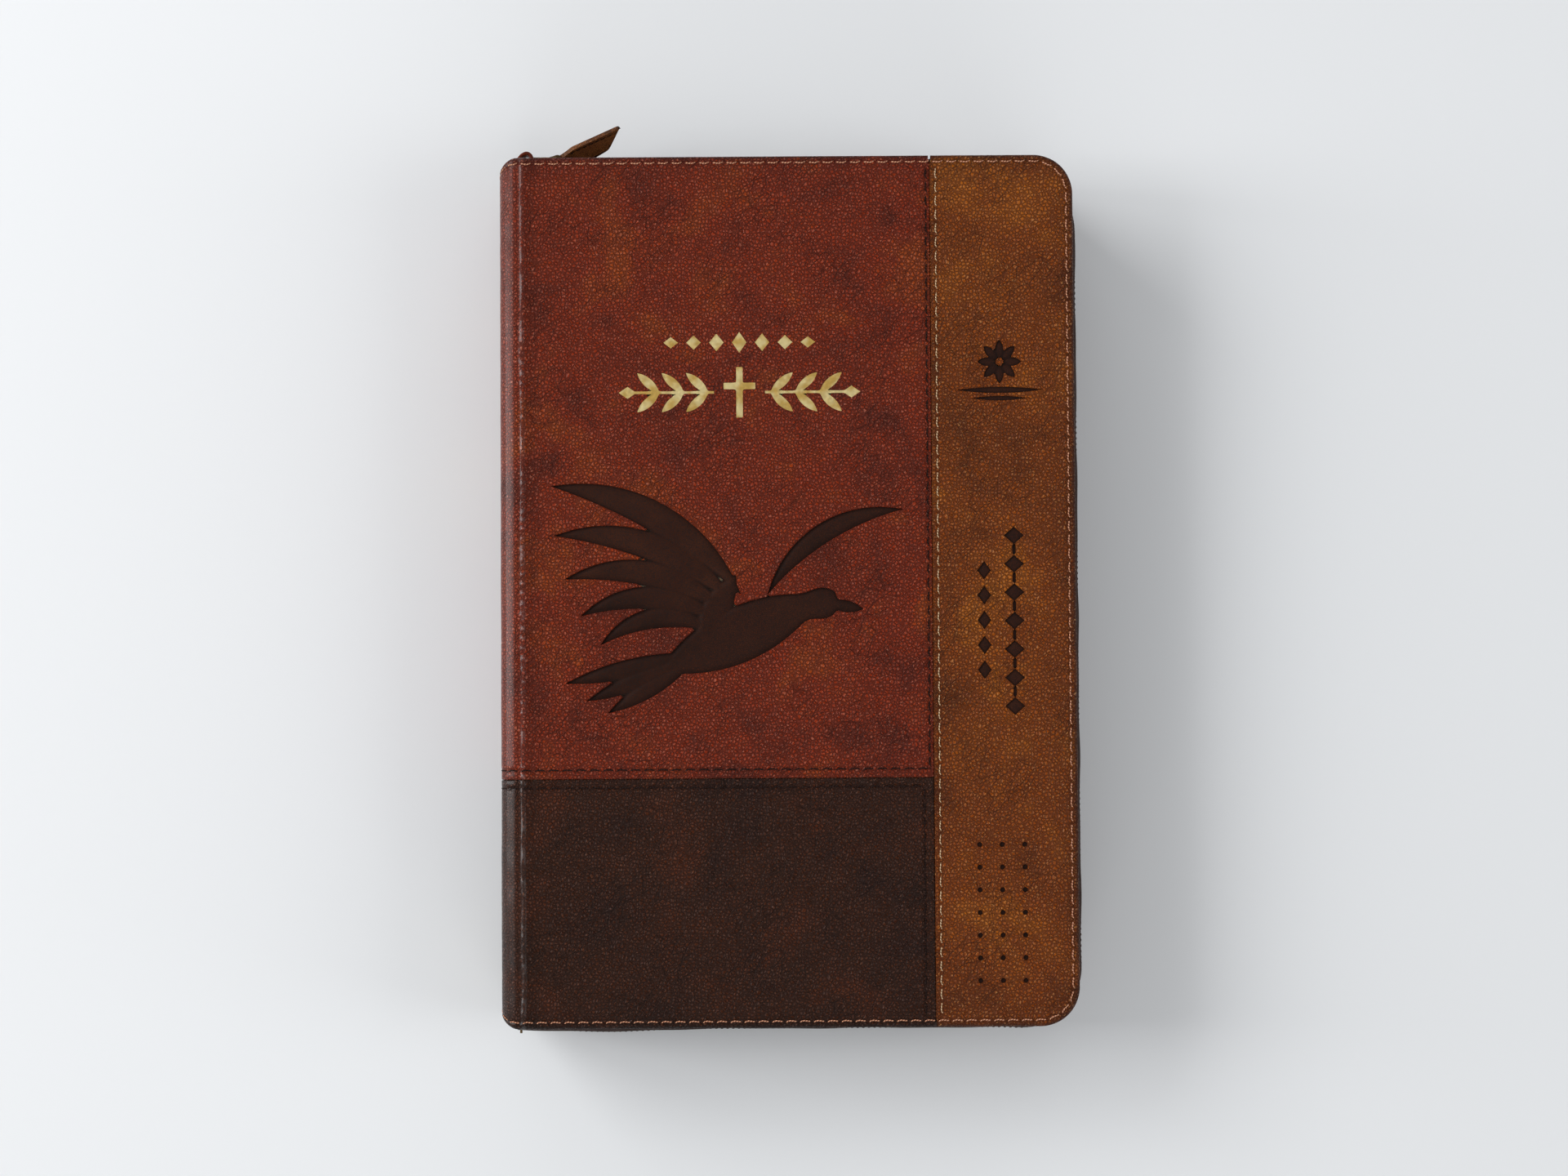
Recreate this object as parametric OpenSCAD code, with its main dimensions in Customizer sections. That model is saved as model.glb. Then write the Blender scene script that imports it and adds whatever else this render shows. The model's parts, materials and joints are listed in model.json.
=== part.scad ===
// A hand-size zipped bible, closed, lying on its back cover.
// X runs from spine to fore edge, Y from tail to head, Z up from the back cover.

/* [Book] */
// Width of the closed cover, spine to fore edge
cover_w = 146; // [138:1:150]
// Height of the cover, tail to head
cover_h = 221; // [214:1:228]
// Thickness of the closed book
book_t = 38; // [37:0.5:40]
// Radius of the rounded shoulder beside the spine
shoulder_r = 5; // [4.6:0.1:5.2]
// Corner radius at the fore edge
fore_corner_r = 10; // [8:0.5:12]
// Corner radius at the ends of the spine
spine_corner_r = 3.5; // [2.5:0.5:4]

/* [Covers] */
// Thickness of one cover with its board and lining
cover_t = 3; // [2.8:0.1:3.2]
// Thickness of the outer leather
leather_t = 1; // [0.8:0.1:1.2]
// Thickness of the inner lining
lining_t = 0.6; // [0.4:0.1:0.8]
// Thickness of the spine wall
spine_t = 2.5; // [2.2:0.1:2.7]

/* [Panels] */
// Where the fore-edge strip starts, measured from the middle
strip_x = 36.6; // [32:0.2:40]
// Where the lower panel ends, measured from the middle
seam_y = -47.7; // [-60:0.1:-40]
// How deep the ornaments are pressed in
press_depth = 0.4; // [0.2:0.1:0.6]
// Rows of pressed dots on the fore-edge strip
dot_rows = 7; // [3:1:8]

/* [Stitching] */
// Width of a line of thread
thread_w = 0.5; // [0.4:0.1:0.7]
// How far the outer stitching lies from the edge
edge_inset = 1.6; // [1.4:0.1:2]

/* [Pages] */
// Gap between the page edges and the cover at head and tail
page_inset = 6; // [5.5:0.5:7]
// How far the pages stop short of the fore edge
page_fore_gap = 8.5; // [8:0.5:10]
// Thickness of the single loose leaf
leaf_t = 0.2; // [0.15:0.05:0.25]

/* [Zip] */
// Radius of the zip where it turns at the fore edge
zip_r = 16; // [14:0.5:17]
// Thickness of the zip tape
tape_t = 0.8; // [0.6:0.1:0.9]
// How far the tape bulges out on its way to the teeth
tape_bulge = 2.4; // [1.8:0.1:2.6]
// Gap between the two rows of teeth, for the slider's bridge
teeth_gap = 1; // [0.9:0.1:1.2]

/* [Slider] */
// Length of the slider
slider_l = 11; // [9:0.5:11]
// Distance from the pull's pin to its cross bar
link_l = 4.3; // [4.2:0.1:5.5]
// Length of the leather tab past the cross bar
tab_l = 17; // [14:0.5:20]
// Width of the leather tab
tab_w = 10; // [8:0.5:11]
// Angle of the pull from the head edge
pull_angle = 17.5; // [14:0.5:22]

/* [Hidden] */
$fn = 0;
$fa = 6;
$fs = 0.3;
half_w = cover_w / 2;
half_h = cover_h / 2;
mid_z = book_t / 2;
hinge_x = -half_w + shoulder_r;
front_z = book_t - cover_t;
board_t = cover_t - leather_t - lining_t;
board_x = hinge_x + 0.6;
turn_in = leather_t + 0.05;
past = 5;

page_back_x = -half_w + spine_t + 2.2;
page_fore_x = half_w - page_fore_gap;
page_y = half_h - page_inset;
page_corner_r = 6;
fold_gap = 0.15;
flyleaf_t = 0.2;
page_low_z = cover_t + 0.3;
page_high_z = front_z - 0.3;
page_split = leaf_t / 2 + fold_gap;

zip_head_y = half_h - 2.3;
zip_fore_x = half_w + 0.6;
zip_tail_y = half_h + 0.9;
zip_start_x = -half_w + 3.5;
teeth_h = 1.5;
teeth_w = 1.6;
teeth_start_x = zip_start_x + 0.6;
back_teeth_z = mid_z - teeth_gap / 2 - teeth_h;
front_teeth_z = mid_z + teeth_gap / 2;
bulge_z = 5;

slider_x = zip_start_x + 1;
slider_mid_x = slider_x + slider_l / 2;
slider_h = 9;
plate_t = 1;
plate_gap = teeth_w + 0.4;
inner_plate_y = zip_head_y + tape_t / 2 - plate_gap / 2 - plate_t;
outer_plate_y = inner_plate_y + plate_t + plate_gap;
bail_in = 1.8;
bail_t = 1;
bail_w = 1.6;
bail_half = 2.2;
pin_r = 0.6;
pin_x = slider_mid_x;
pin_y = outer_plate_y + plate_t + bail_in / 2;
cheek_t = 1;
cheek_out = 3.6;
loop_w = 5;
tab_t = 1.5;
tab_roll = 27;

thread_t = 0.2;
foil_t = 0.12;
inlay_t = 0.15;
strip_thread_x = strip_x + 1.5;
main_thread_x = strip_x - 1;
lower_thread_x = strip_x - 2.5;
main_thread_y = seam_y + 2.3;
lower_thread_y = seam_y - 2.2;

// ---- outlines ----

// plan of the closed cover, taken in by a margin
module cover_outline(margin) {
  x0 = -half_w + margin;
  x1 = half_w - margin;
  y1 = half_h - margin;
  fore_r = fore_corner_r - margin;
  spine_r = max(spine_corner_r - margin, 0.5);
  translate([x0, -y1 + spine_r]) square([x1 - x0 - fore_r, 2 * (y1 - spine_r)]);
  translate([x0 + spine_r, -y1]) square([x1 - x0 - spine_r - fore_r, 2 * y1]);
  translate([x1 - fore_r - 1, -y1 + fore_r]) square([fore_r + 1, 2 * (y1 - fore_r)]);
  for (s = [-1, 1]) {
    translate([x1 - fore_r, s * (y1 - fore_r)]) circle(fore_r);
    translate([x0 + spine_r, s * (y1 - spine_r)]) circle(spine_r);
  }
}

// plan of the page block
module page_outline() {
  r = page_corner_r;
  translate([page_back_x, -page_y]) square([page_fore_x - page_back_x - r, 2 * page_y]);
  translate([page_fore_x - r - 1, -page_y + r]) square([r + 1, 2 * (page_y - r)]);
  for (s = [-1, 1]) translate([page_fore_x - r, s * (page_y - r)]) circle(r);
}

// leaf shape with two equal arcs, lying along X from the origin
module leaf_2d(length, width) {
  r = (length * length + width * width) / (4 * width);
  intersection() {
    translate([length / 2, r - width / 2]) circle(r, $fn = 360);
    translate([length / 2, width / 2 - r]) circle(r, $fn = 360);
  }
}

// curved feather along X from the origin: both edges bow to the same side
module feather_2d(length, bow, sag) {
  r_out = (length * length / 4 + bow * bow) / (2 * bow);
  r_in = (length * length / 4 + sag * sag) / (2 * sag);
  difference() {
    translate([length / 2, bow - r_out]) circle(r_out, $fn = 360);
    translate([length / 2, sag - r_in]) circle(r_in, $fn = 360);
  }
}

// a plain flying bird: near wing, far wing, body, head, beak and tail
module bird_2d() {
  for (i = [0:4]) {
    translate([-12 - 1.6 * i, -1 - 2.4 * i]) rotate(150 + 9 * i) mirror([0, 1])
      feather_2d(55 - 6.5 * i, 10 - 0.6 * i, 2.6);
  }
  translate([-5, -1]) rotate(32) feather_2d(40, 8, 3);
  for (i = [0:2]) translate([-24, -16 - i]) rotate(193 + 9 * i) leaf_2d(33 - 4 * i, 4.6);
  translate([-33, -20.5]) rotate(24) leaf_2d(46, 14);
  translate([9.6, -3.6]) circle(4.4);
  translate([12, -3.4]) rotate(-10) leaf_2d(7, 2.4);
}

// a lozenge around the origin
module lozenge_2d(width, height) {
  polygon([[-width / 2, 0], [0, -height / 2], [width / 2, 0], [0, height / 2]]);
}

// cover ornament: a plain cross between two leafy sprays, with lozenges above
module cover_ornament_2d() {
  cross_h = 12.8;
  translate([-12, 50.2]) {
    translate([-0.8, -cross_h / 2]) square([1.6, cross_h]);
    translate([-4, 0.8]) square([8, 1.6]);
    for (s = [0, 1]) mirror([s, 0]) {
      translate([6.5, -0.3]) square([20, 0.6]);
      translate([28.4, 0]) lozenge_2d(4.4, 3);
      for (i = [0:2], up = [-1, 1])
        translate([8 + 6.2 * i, 0]) rotate(up * 42) leaf_2d(7.4, 2.2);
    }
  }
  for (i = [-3:3]) translate([-12 + 5.8 * i, 62.9]) lozenge_2d(3.6, 5.2 - 0.8 * abs(i));
}

// pressed emblem on the strip: a rosette over two thin leaves
module emblem_2d() {
  for (i = [0:7]) translate([54, 57.6]) rotate(45 * i) translate([0.9, 0]) leaf_2d(4.6, 2.1);
  translate([43.4, 50.4]) leaf_2d(21.2, 1.5);
  translate([47.4, 48.3]) leaf_2d(13.2, 1.1);
}

// pressed marks along the strip: lozenges between short bars
module strip_marks_2d() {
  for (i = [-3:3]) translate([57.3, -8.2 + 7.2 * i]) {
    lozenge_2d(5, 4.4);
    if (i < 3) translate([-0.4, 2.6]) square([0.8, 2]);
  }
  for (i = [-2:2]) translate([49.7, -8 + 6.3 * i]) lozenge_2d(3.4, 4.6);
}

// centres of the pressed dots
module at_dots() {
  for (i = [0:2], k = [0:dot_rows - 1]) translate([48 + 5.7 * i, -98.9 + 5.7 * k]) children();
}

// ---- covers: modelled as the front cover, and mirrored for the back ----

// keeps what lies between two x and two y values
module keep(x0, x1, y0, y1) {
  intersection() {
    children();
    translate([x0, y0, -past]) cube([x1 - x0, y1 - y0, book_t + 2 * past]);
  }
}

// outer skin of a cover with its edges turned over the board
module cover_skin() {
  difference() {
    translate([0, 0, front_z]) linear_extrude(cover_t) cover_outline(0);
    translate([0, 0, front_z - past]) linear_extrude(cover_t - leather_t + past)
      intersection() {
        cover_outline(turn_in);
        translate([hinge_x - past, -half_h]) square([cover_w + past, cover_h]);
      }
  }
}

module main_area() {
  keep(hinge_x, strip_x, seam_y, half_h + past) children();
}

module lower_area() {
  keep(hinge_x, strip_x, -half_h - past, seam_y) children();
}

module strip_area() {
  keep(strip_x, half_w + past, -half_h - past, half_h + past) children();
}

module board() {
  translate([0, 0, front_z + lining_t]) linear_extrude(board_t) intersection() {
    cover_outline(turn_in);
    translate([board_x, -half_h]) square([cover_w, cover_h]);
  }
}

module lining() {
  translate([0, 0, front_z]) linear_extrude(lining_t) intersection() {
    cover_outline(turn_in);
    translate([board_x, -half_h]) square([cover_w, cover_h]);
  }
}

// quarter of the shoulder beside the spine, between two y values
module shoulder(y0, y1) {
  intersection() {
    translate([hinge_x, y1, book_t - shoulder_r]) rotate([90, 0, 0])
      rotate_shoulder(y1 - y0);
    translate([0, 0, -past]) linear_extrude(book_t + 2 * past) cover_outline(0);
  }
}

module rotate_shoulder(length) {
  linear_extrude(length) intersection() {
    difference() {
      circle(shoulder_r);
      circle(shoulder_r - leather_t);
    }
    translate([-shoulder_r, 0]) square(shoulder_r);
  }
}

module flip() {
  translate([0, 0, book_t]) mirror([0, 0, 1]) children();
}

// a line of thread on a cover's top face, between two points along X or Y
module thread_line(x0, y0, x1, y1) {
  translate([x0 - thread_w / 2, y0 - thread_w / 2]) square([x1 - x0 + thread_w, y1 - y0 + thread_w]);
}

module edge_thread_2d() {
  difference() {
    cover_outline(edge_inset - thread_w / 2);
    cover_outline(edge_inset + thread_w / 2);
    translate([-cover_w, -cover_h]) square([cover_w + hinge_x, 2 * cover_h]);
  }
}

module main_thread_2d() {
  thread_line(main_thread_x, main_thread_y, main_thread_x, half_h - edge_inset - 1);
  thread_line(hinge_x + 0.5, main_thread_y, main_thread_x, main_thread_y);
}

module lower_thread_2d() {
  thread_line(lower_thread_x, -half_h + edge_inset + 1, lower_thread_x, lower_thread_y);
  thread_line(hinge_x + 0.5, lower_thread_y, lower_thread_x, lower_thread_y);
}

module strip_thread_2d() {
  end_y = half_h - edge_inset - 1;
  thread_line(strip_thread_x, -end_y, strip_thread_x, end_y);
}

// thread let into the back cover, so that it never reaches the table
module sunk_thread() {
  translate([0, 0, 0.02]) linear_extrude(thread_t) children();
}

module thread_grooves() {
  translate([0, 0, -past]) linear_extrude(past + 0.02 + thread_t) {
    edge_thread_2d();
    main_thread_2d();
    lower_thread_2d();
    strip_thread_2d();
  }
}

// ---- zip ----

// sweeps a profile (out, up) along the head, round the fore edge and back along the tail
module around_zip(start_x) {
  corner_x = zip_fore_x - zip_r;
  head_corner_y = zip_head_y - zip_r;
  tail_corner_y = -zip_tail_y + zip_r;
  translate([start_x, zip_head_y, 0]) rotate([90, 0, 90])
    linear_extrude(corner_x - start_x) children();
  translate([corner_x, head_corner_y, 0]) rotate_extrude(angle = 90)
    translate([zip_r, 0]) children();
  translate([zip_fore_x, head_corner_y, 0]) rotate([90, 0, 0])
    linear_extrude(head_corner_y - tail_corner_y) children();
  translate([corner_x, tail_corner_y, 0]) rotate([0, 0, -90]) rotate_extrude(angle = 90)
    translate([zip_r, 0]) children();
  translate([start_x, -zip_tail_y, 0]) mirror([0, 1, 0]) rotate([90, 0, 90])
    linear_extrude(corner_x - start_x) children();
}

module front_tape_2d() {
  low = front_teeth_z + teeth_h;
  polygon([
    [0, low], [tape_t, low], [tape_t, low + bulge_z],
    [tape_t - tape_bulge, front_z], [-tape_bulge, front_z], [0, low + bulge_z]
  ]);
}

module back_tape_2d() {
  polygon([
    [0, back_teeth_z], [tape_t, back_teeth_z], [tape_t, back_teeth_z - bulge_z],
    [tape_t - tape_bulge, cover_t], [-tape_bulge, cover_t], [0, back_teeth_z - bulge_z]
  ]);
}

module teeth_2d(z0) {
  translate([(tape_t - teeth_w) / 2, z0]) square([teeth_w, teeth_h]);
}

module zip_stop(y) {
  translate([zip_start_x, y - 1, back_teeth_z]) cube([0.55, 2, teeth_h]);
}

// ---- spine ----

module spine_band(x0, thick, y0, y1, end_gap) {
  z0 = shoulder_r + end_gap;
  intersection() {
    translate([x0, y0, z0]) cube([thick, y1 - y0, book_t - 2 * z0]);
    translate([0, 0, -past]) linear_extrude(book_t + 2 * past) cover_outline(0);
  }
}

// a bar across the spine's outer face
module spine_bar(y0, y1, z0, z1, thick) {
  translate([-half_w - thick, y0, z0]) cube([thick, y1 - y0, z1 - z0]);
}

module spine_lozenge(y, size) {
  translate([-half_w, y, mid_z]) rotate([0, -90, 0]) linear_extrude(foil_t)
    lozenge_2d(size, size * 1.6);
}

// ---- slider and pull ----

// places its children at the pull's pin, with X along the pull
module at_pull(along) {
  translate([pin_x, pin_y, mid_z]) rotate([0, 0, pull_angle]) translate([along, 0, 0]) children();
}

module upright_pin(r, h) {
  translate([0, 0, -h / 2]) cylinder(r = r, h = h);
}

// ---- nodes: back cover ----

module back_main_panel() {
  color("#6b2c1c") difference() {
    flip() main_area() cover_skin();
    thread_grooves();
  }
}

module back_lower_panel() {
  color("#33211a") difference() {
    flip() lower_area() cover_skin();
    thread_grooves();
  }
}

module back_fore_strip() {
  color("#7a4722") difference() {
    flip() strip_area() cover_skin();
    thread_grooves();
  }
}

module back_board() {
  color("#8f7f68") flip() board();
}

module back_lining() {
  color("#2b1a14") flip() lining();
}

module back_joint_upper() {
  color("#6b2c1c") flip() shoulder(seam_y, half_h);
}

module back_joint_lower() {
  color("#33211a") flip() shoulder(-half_h, seam_y);
}

module back_edge_thread() {
  color("#c79a6c") sunk_thread() edge_thread_2d();
}

module back_seam_thread() {
  color("#241510") sunk_thread() {
    main_thread_2d();
    lower_thread_2d();
  }
}

module back_strip_thread() {
  color("#d9c3a0") sunk_thread() strip_thread_2d();
}

module rear_page_block() {
  color("#e9ddb8") translate([0, 0, page_low_z + flyleaf_t])
    linear_extrude(mid_z - page_split - page_low_z - flyleaf_t) page_outline();
}

module rear_flyleaf() {
  color("#efe6d2") translate([0, 0, page_low_z]) linear_extrude(flyleaf_t) page_outline();
}

module spine_glue() {
  color("#d8cbb0") translate([page_back_x - 0.9, -page_y, page_low_z + 1])
    cube([0.8, 2 * page_y, book_t - 2 * page_low_z - 2]);
}

module headband() {
  color("#8a3a2a") translate([page_back_x + 0.6, page_y + 0.65, page_low_z + 1])
    cylinder(r = 0.6, h = book_t - 2 * page_low_z - 2);
}

module tailband() {
  color("#8a3a2a") translate([page_back_x + 0.6, -page_y - 0.65, page_low_z + 1])
    cylinder(r = 0.6, h = book_t - 2 * page_low_z - 2);
}

module back_zip_tape() {
  color("#1f1613") around_zip(zip_start_x) back_tape_2d();
}

module back_zip_teeth() {
  color("#2a1c16") around_zip(teeth_start_x) teeth_2d(back_teeth_z);
}

module zip_stop_head() {
  color("#8c7a5c") zip_stop(zip_head_y + tape_t / 2);
}

module zip_stop_tail() {
  color("#8c7a5c") zip_stop(-zip_tail_y - tape_t / 2);
}

// ---- nodes: spine ----

module spine_upper_panel() {
  color("#6b2c1c") spine_band(-half_w, leather_t, seam_y, half_h, 0.05);
}

module spine_lower_panel() {
  color("#33211a") spine_band(-half_w, leather_t, -half_h, seam_y, 0.05);
}

module spine_stiffener() {
  color("#8f7f68")
    spine_band(-half_w + leather_t, spine_t - leather_t - 0.5, -half_h + 2, half_h - 2, 0.6);
}

module spine_lining() {
  color("#2b1a14") spine_band(-half_w + spine_t - 0.5, 0.5, -half_h + 1.2, half_h - 1.2, 0.3);
}

module spine_foil() {
  color("#d9b566") {
    for (y = [70, 77, 24, 39, -86, -98]) spine_bar(y - 0.35, y + 0.35, 9, book_t - 9, foil_t);
    spine_lozenge(73.5, 2.6);
    spine_lozenge(31.5, 6);
    spine_lozenge(-92, 4);
  }
}

module spine_thread() {
  color("#c79a6c") for (y = [half_h - edge_inset, -half_h + edge_inset])
    spine_bar(y - thread_w / 2, y + thread_w / 2, shoulder_r + 0.5, book_t - shoulder_r - 0.5, thread_t);
  color("#241510") for (y = [main_thread_y, lower_thread_y])
    spine_bar(y - thread_w / 2, y + thread_w / 2, shoulder_r + 0.5, book_t - shoulder_r - 0.5, thread_t);
}

// ---- nodes: front cover ----

module front_main_panel() {
  color("#6b2c1c") difference() {
    main_area() cover_skin();
    translate([0, 0, book_t - press_depth]) linear_extrude(past) bird_2d();
    translate([0, 0, book_t - foil_t]) linear_extrude(past) cover_ornament_2d();
  }
}

module front_lower_panel() {
  color("#33211a") lower_area() cover_skin();
}

module front_fore_strip() {
  color("#7a4722") difference() {
    strip_area() cover_skin();
    translate([0, 0, book_t - press_depth]) {
      linear_extrude(past) emblem_2d();
      linear_extrude(past) strip_marks_2d();
      at_dots() cylinder(r = 0.55, h = past);
    }
  }
}

module front_board() {
  color("#8f7f68") board();
}

module front_lining() {
  color("#2b1a14") lining();
}

module front_joint_upper() {
  color("#6b2c1c") shoulder(seam_y, half_h);
}

module front_joint_lower() {
  color("#33211a") shoulder(-half_h, seam_y);
}

module front_edge_thread() {
  color("#c79a6c") translate([0, 0, book_t]) linear_extrude(thread_t) edge_thread_2d();
}

module front_seam_thread() {
  color("#241510") translate([0, 0, book_t]) linear_extrude(thread_t) main_thread_2d();
}

module front_lower_thread() {
  color("#141010") translate([0, 0, book_t]) linear_extrude(thread_t) lower_thread_2d();
}

module front_strip_thread() {
  color("#d9c3a0") translate([0, 0, book_t]) linear_extrude(thread_t) strip_thread_2d();
}

module cover_foil() {
  color("#e6cb83") translate([0, 0, book_t - foil_t]) linear_extrude(foil_t) cover_ornament_2d();
}

module bird_inlay() {
  color("#2d1b15") translate([0, 0, book_t - press_depth]) linear_extrude(inlay_t) bird_2d();
}

module emblem_inlay() {
  color("#2d1b15") translate([0, 0, book_t - press_depth]) linear_extrude(inlay_t) emblem_2d();
}

module strip_inlay() {
  color("#2d1b15") translate([0, 0, book_t - press_depth]) linear_extrude(inlay_t) strip_marks_2d();
}

// cut short beside the slider's resting place, so that the cover lifts clear of it
module front_zip_tape() {
  color("#1f1613") difference() {
    around_zip(zip_start_x) front_tape_2d();
    translate([-half_w, half_h - 10, mid_z]) cube([slider_x + slider_l + 1 + half_w, 20, bulge_z + 0.5]);
  }
}

module front_zip_teeth() {
  color("#2a1c16") difference() {
    around_zip(teeth_start_x) teeth_2d(front_teeth_z);
    translate([-half_w, half_h - 10, mid_z]) cube([slider_x + slider_l + 1 + half_w, 20, bulge_z + 0.5]);
  }
}

// ---- nodes: pages ----

module front_page_block() {
  color("#e9ddb8") translate([0, 0, mid_z + page_split])
    linear_extrude(page_high_z - flyleaf_t - mid_z - page_split) page_outline();
}

module front_flyleaf() {
  color("#efe6d2") translate([0, 0, page_high_z - flyleaf_t]) linear_extrude(flyleaf_t) page_outline();
}

module loose_leaf() {
  color("#f3ecd8") translate([0, 0, mid_z - leaf_t / 2]) linear_extrude(leaf_t) intersection() {
    page_outline();
    translate([page_back_x + 0.4, -page_y]) square([page_fore_x - page_back_x - 0.7, 2 * page_y]);
  }
}

// ---- nodes: slider and pull ----

module slider_body() {
  color("#5b4a38") {
    for (y = [inner_plate_y, outer_plate_y])
      translate([slider_x, y, mid_z - slider_h / 2]) cube([slider_l, plate_t, slider_h]);
    translate([slider_x + 0.5, inner_plate_y, mid_z - 0.3]) cube([4, plate_gap + 2 * plate_t, 0.6]);
    for (s = [0, 1]) flip_about_mid(s) {
      translate([slider_x, inner_plate_y, mid_z + slider_h / 2 - 1]) cube([slider_l, plate_t + 0.3, 1]);
      translate([slider_x, outer_plate_y - 0.3, mid_z + slider_h / 2 - 1]) cube([slider_l, plate_t + 0.3, 1]);
    }
  }
}

module flip_about_mid(s) {
  translate([0, 0, s * book_t]) mirror([0, 0, s]) children();
}

module slider_bail() {
  bail_y = outer_plate_y + plate_t;
  color("#6d5a44") translate([0, 0, mid_z - bail_w / 2]) linear_extrude(bail_w) difference() {
    translate([slider_mid_x - bail_half, bail_y]) square([2 * bail_half, bail_in + bail_t]);
    translate([slider_mid_x - bail_half + bail_t, bail_y - 1])
      square([2 * (bail_half - bail_t), bail_in + 1]);
  }
}

module pull_link() {
  color("#6d5a44") {
    at_pull(0) upright_pin(pin_r, 2 * cheek_out);
    at_pull(link_l) upright_pin(pin_r, 2 * cheek_out);
    for (z = [-cheek_out, cheek_out - cheek_t]) at_pull(0) translate([0, 0, z]) {
      translate([0, -0.8, 0]) cube([link_l, 1.6, cheek_t]);
      cylinder(r = 0.8, h = cheek_t);
      translate([link_l, 0, 0]) cylinder(r = 0.8, h = cheek_t);
    }
  }
}

// leather folded round the cross bar; its broad end rolls a little to one side
module pull_tab() {
  neck_l = 1.8;
  body_l = tab_l - neck_l;
  tip_r = tab_w / 2 - 0.5;
  color("#5a3222") at_pull(link_l) difference() {
    union() {
      upright_pin(tab_t / 2 + 0.3, loop_w);
      translate([0, -tab_t / 2, -loop_w / 2]) cube([neck_l + 1, tab_t, loop_w]);
      translate([neck_l, 0, 0]) rotate([90 - tab_roll, 0, 0]) translate([0, 0, -tab_t / 2])
        linear_extrude(tab_t) {
          translate([0, -tab_w / 2]) square([body_l - tip_r, tab_w]);
          translate([0, -0.5]) square([body_l, 1]);
          for (s = [-1, 1]) translate([body_l - tip_r, s * 0.5]) circle(tip_r);
        }
    }
    upright_pin(pin_r + 0.06, loop_w + 2);
  }
}

back_main_panel();
back_lower_panel();
back_fore_strip();
back_board();
back_lining();
back_joint_upper();
back_joint_lower();
back_edge_thread();
back_seam_thread();
back_strip_thread();
rear_page_block();
rear_flyleaf();
spine_glue();
headband();
tailband();
back_zip_tape();
back_zip_teeth();
zip_stop_head();
zip_stop_tail();
spine_upper_panel();
spine_lower_panel();
spine_stiffener();
spine_lining();
spine_foil();
spine_thread();
front_main_panel();
front_lower_panel();
front_fore_strip();
front_board();
front_lining();
front_joint_upper();
front_joint_lower();
front_edge_thread();
front_seam_thread();
front_lower_thread();
front_strip_thread();
cover_foil();
bird_inlay();
emblem_inlay();
strip_inlay();
front_zip_tape();
front_zip_teeth();
front_page_block();
front_flyleaf();
loose_leaf();
slider_body();
slider_bail();
pull_link();
pull_tab();
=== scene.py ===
"""A zipped leather bible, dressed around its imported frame."""

import json
import math

import bpy
import numpy as np
from mathutils import Matrix, Vector


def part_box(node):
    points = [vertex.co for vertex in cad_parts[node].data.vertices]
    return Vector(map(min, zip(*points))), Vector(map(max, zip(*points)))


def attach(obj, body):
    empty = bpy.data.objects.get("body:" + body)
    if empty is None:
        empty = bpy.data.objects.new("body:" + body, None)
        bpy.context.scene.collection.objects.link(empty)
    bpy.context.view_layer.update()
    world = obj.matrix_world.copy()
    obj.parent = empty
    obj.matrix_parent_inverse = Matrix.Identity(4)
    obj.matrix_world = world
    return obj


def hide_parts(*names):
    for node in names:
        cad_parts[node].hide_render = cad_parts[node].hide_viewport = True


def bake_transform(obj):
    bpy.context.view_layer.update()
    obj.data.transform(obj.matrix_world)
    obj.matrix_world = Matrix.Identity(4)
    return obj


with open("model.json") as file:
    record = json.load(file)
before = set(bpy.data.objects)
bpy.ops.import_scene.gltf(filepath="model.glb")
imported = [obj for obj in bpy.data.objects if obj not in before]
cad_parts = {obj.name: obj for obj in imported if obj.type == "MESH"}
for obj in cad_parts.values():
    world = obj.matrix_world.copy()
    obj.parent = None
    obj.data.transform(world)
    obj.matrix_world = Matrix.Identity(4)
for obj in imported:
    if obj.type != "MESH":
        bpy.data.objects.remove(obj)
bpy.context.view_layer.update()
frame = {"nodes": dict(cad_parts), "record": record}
MM = 0.001


# ---------------------------------------------------------------- sizes, in mm


def edges_of(node):
    """Lowest and highest corner of a CAD node, in mm."""
    low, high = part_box(node)
    return np.array(low) / MM, np.array(high) / MM


strip_low, strip_high = edges_of("front_fore_strip")
lining_low = edges_of("front_lining")[0]
spine_low = edges_of("spine_upper_panel")[0]
pages_low, pages_high = edges_of("front_page_block")

SPINE_X = spine_low[0]
FORE_X = strip_high[0]
HEAD_Y = strip_high[1]
TOP_Z = strip_high[2]
MID_Z = TOP_Z / 2
STRIP_X = strip_low[0]
SEAM_Y = edges_of("front_lower_panel")[1][1]
HINGE_X = edges_of("front_main_panel")[0][0]
SHOULDER_R = HINGE_X - SPINE_X
COVER_T = TOP_Z - lining_low[2]
SHOULDER_ARC = SHOULDER_R * math.pi / 2
SPINE_MID_U = HINGE_X - SHOULDER_ARC - (MID_Z - SHOULDER_R)
FORE_CORNER_R = 10.0
EDGE_R = 1.15

STITCH_PITCH = 3.5
EDGE_THREAD_IN = 1.7
STRIP_THREAD_X = STRIP_X + 1.5
MAIN_THREAD_X = STRIP_X - 1.0
LOWER_THREAD_X = STRIP_X - 2.5
MAIN_THREAD_Y = SEAM_Y + 2.3
LOWER_THREAD_Y = SEAM_Y - 2.2


# ---------------------------------------------------------------- small helpers


def srgb(code):
    """Linear colour from a hex code."""
    parts = [int(code[k : k + 2], 16) / 255 for k in (0, 2, 4)]
    return [c / 12.92 if c < 0.04045 else ((c + 0.055) / 1.055) ** 2.4 for c in parts] + [1.0]


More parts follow.
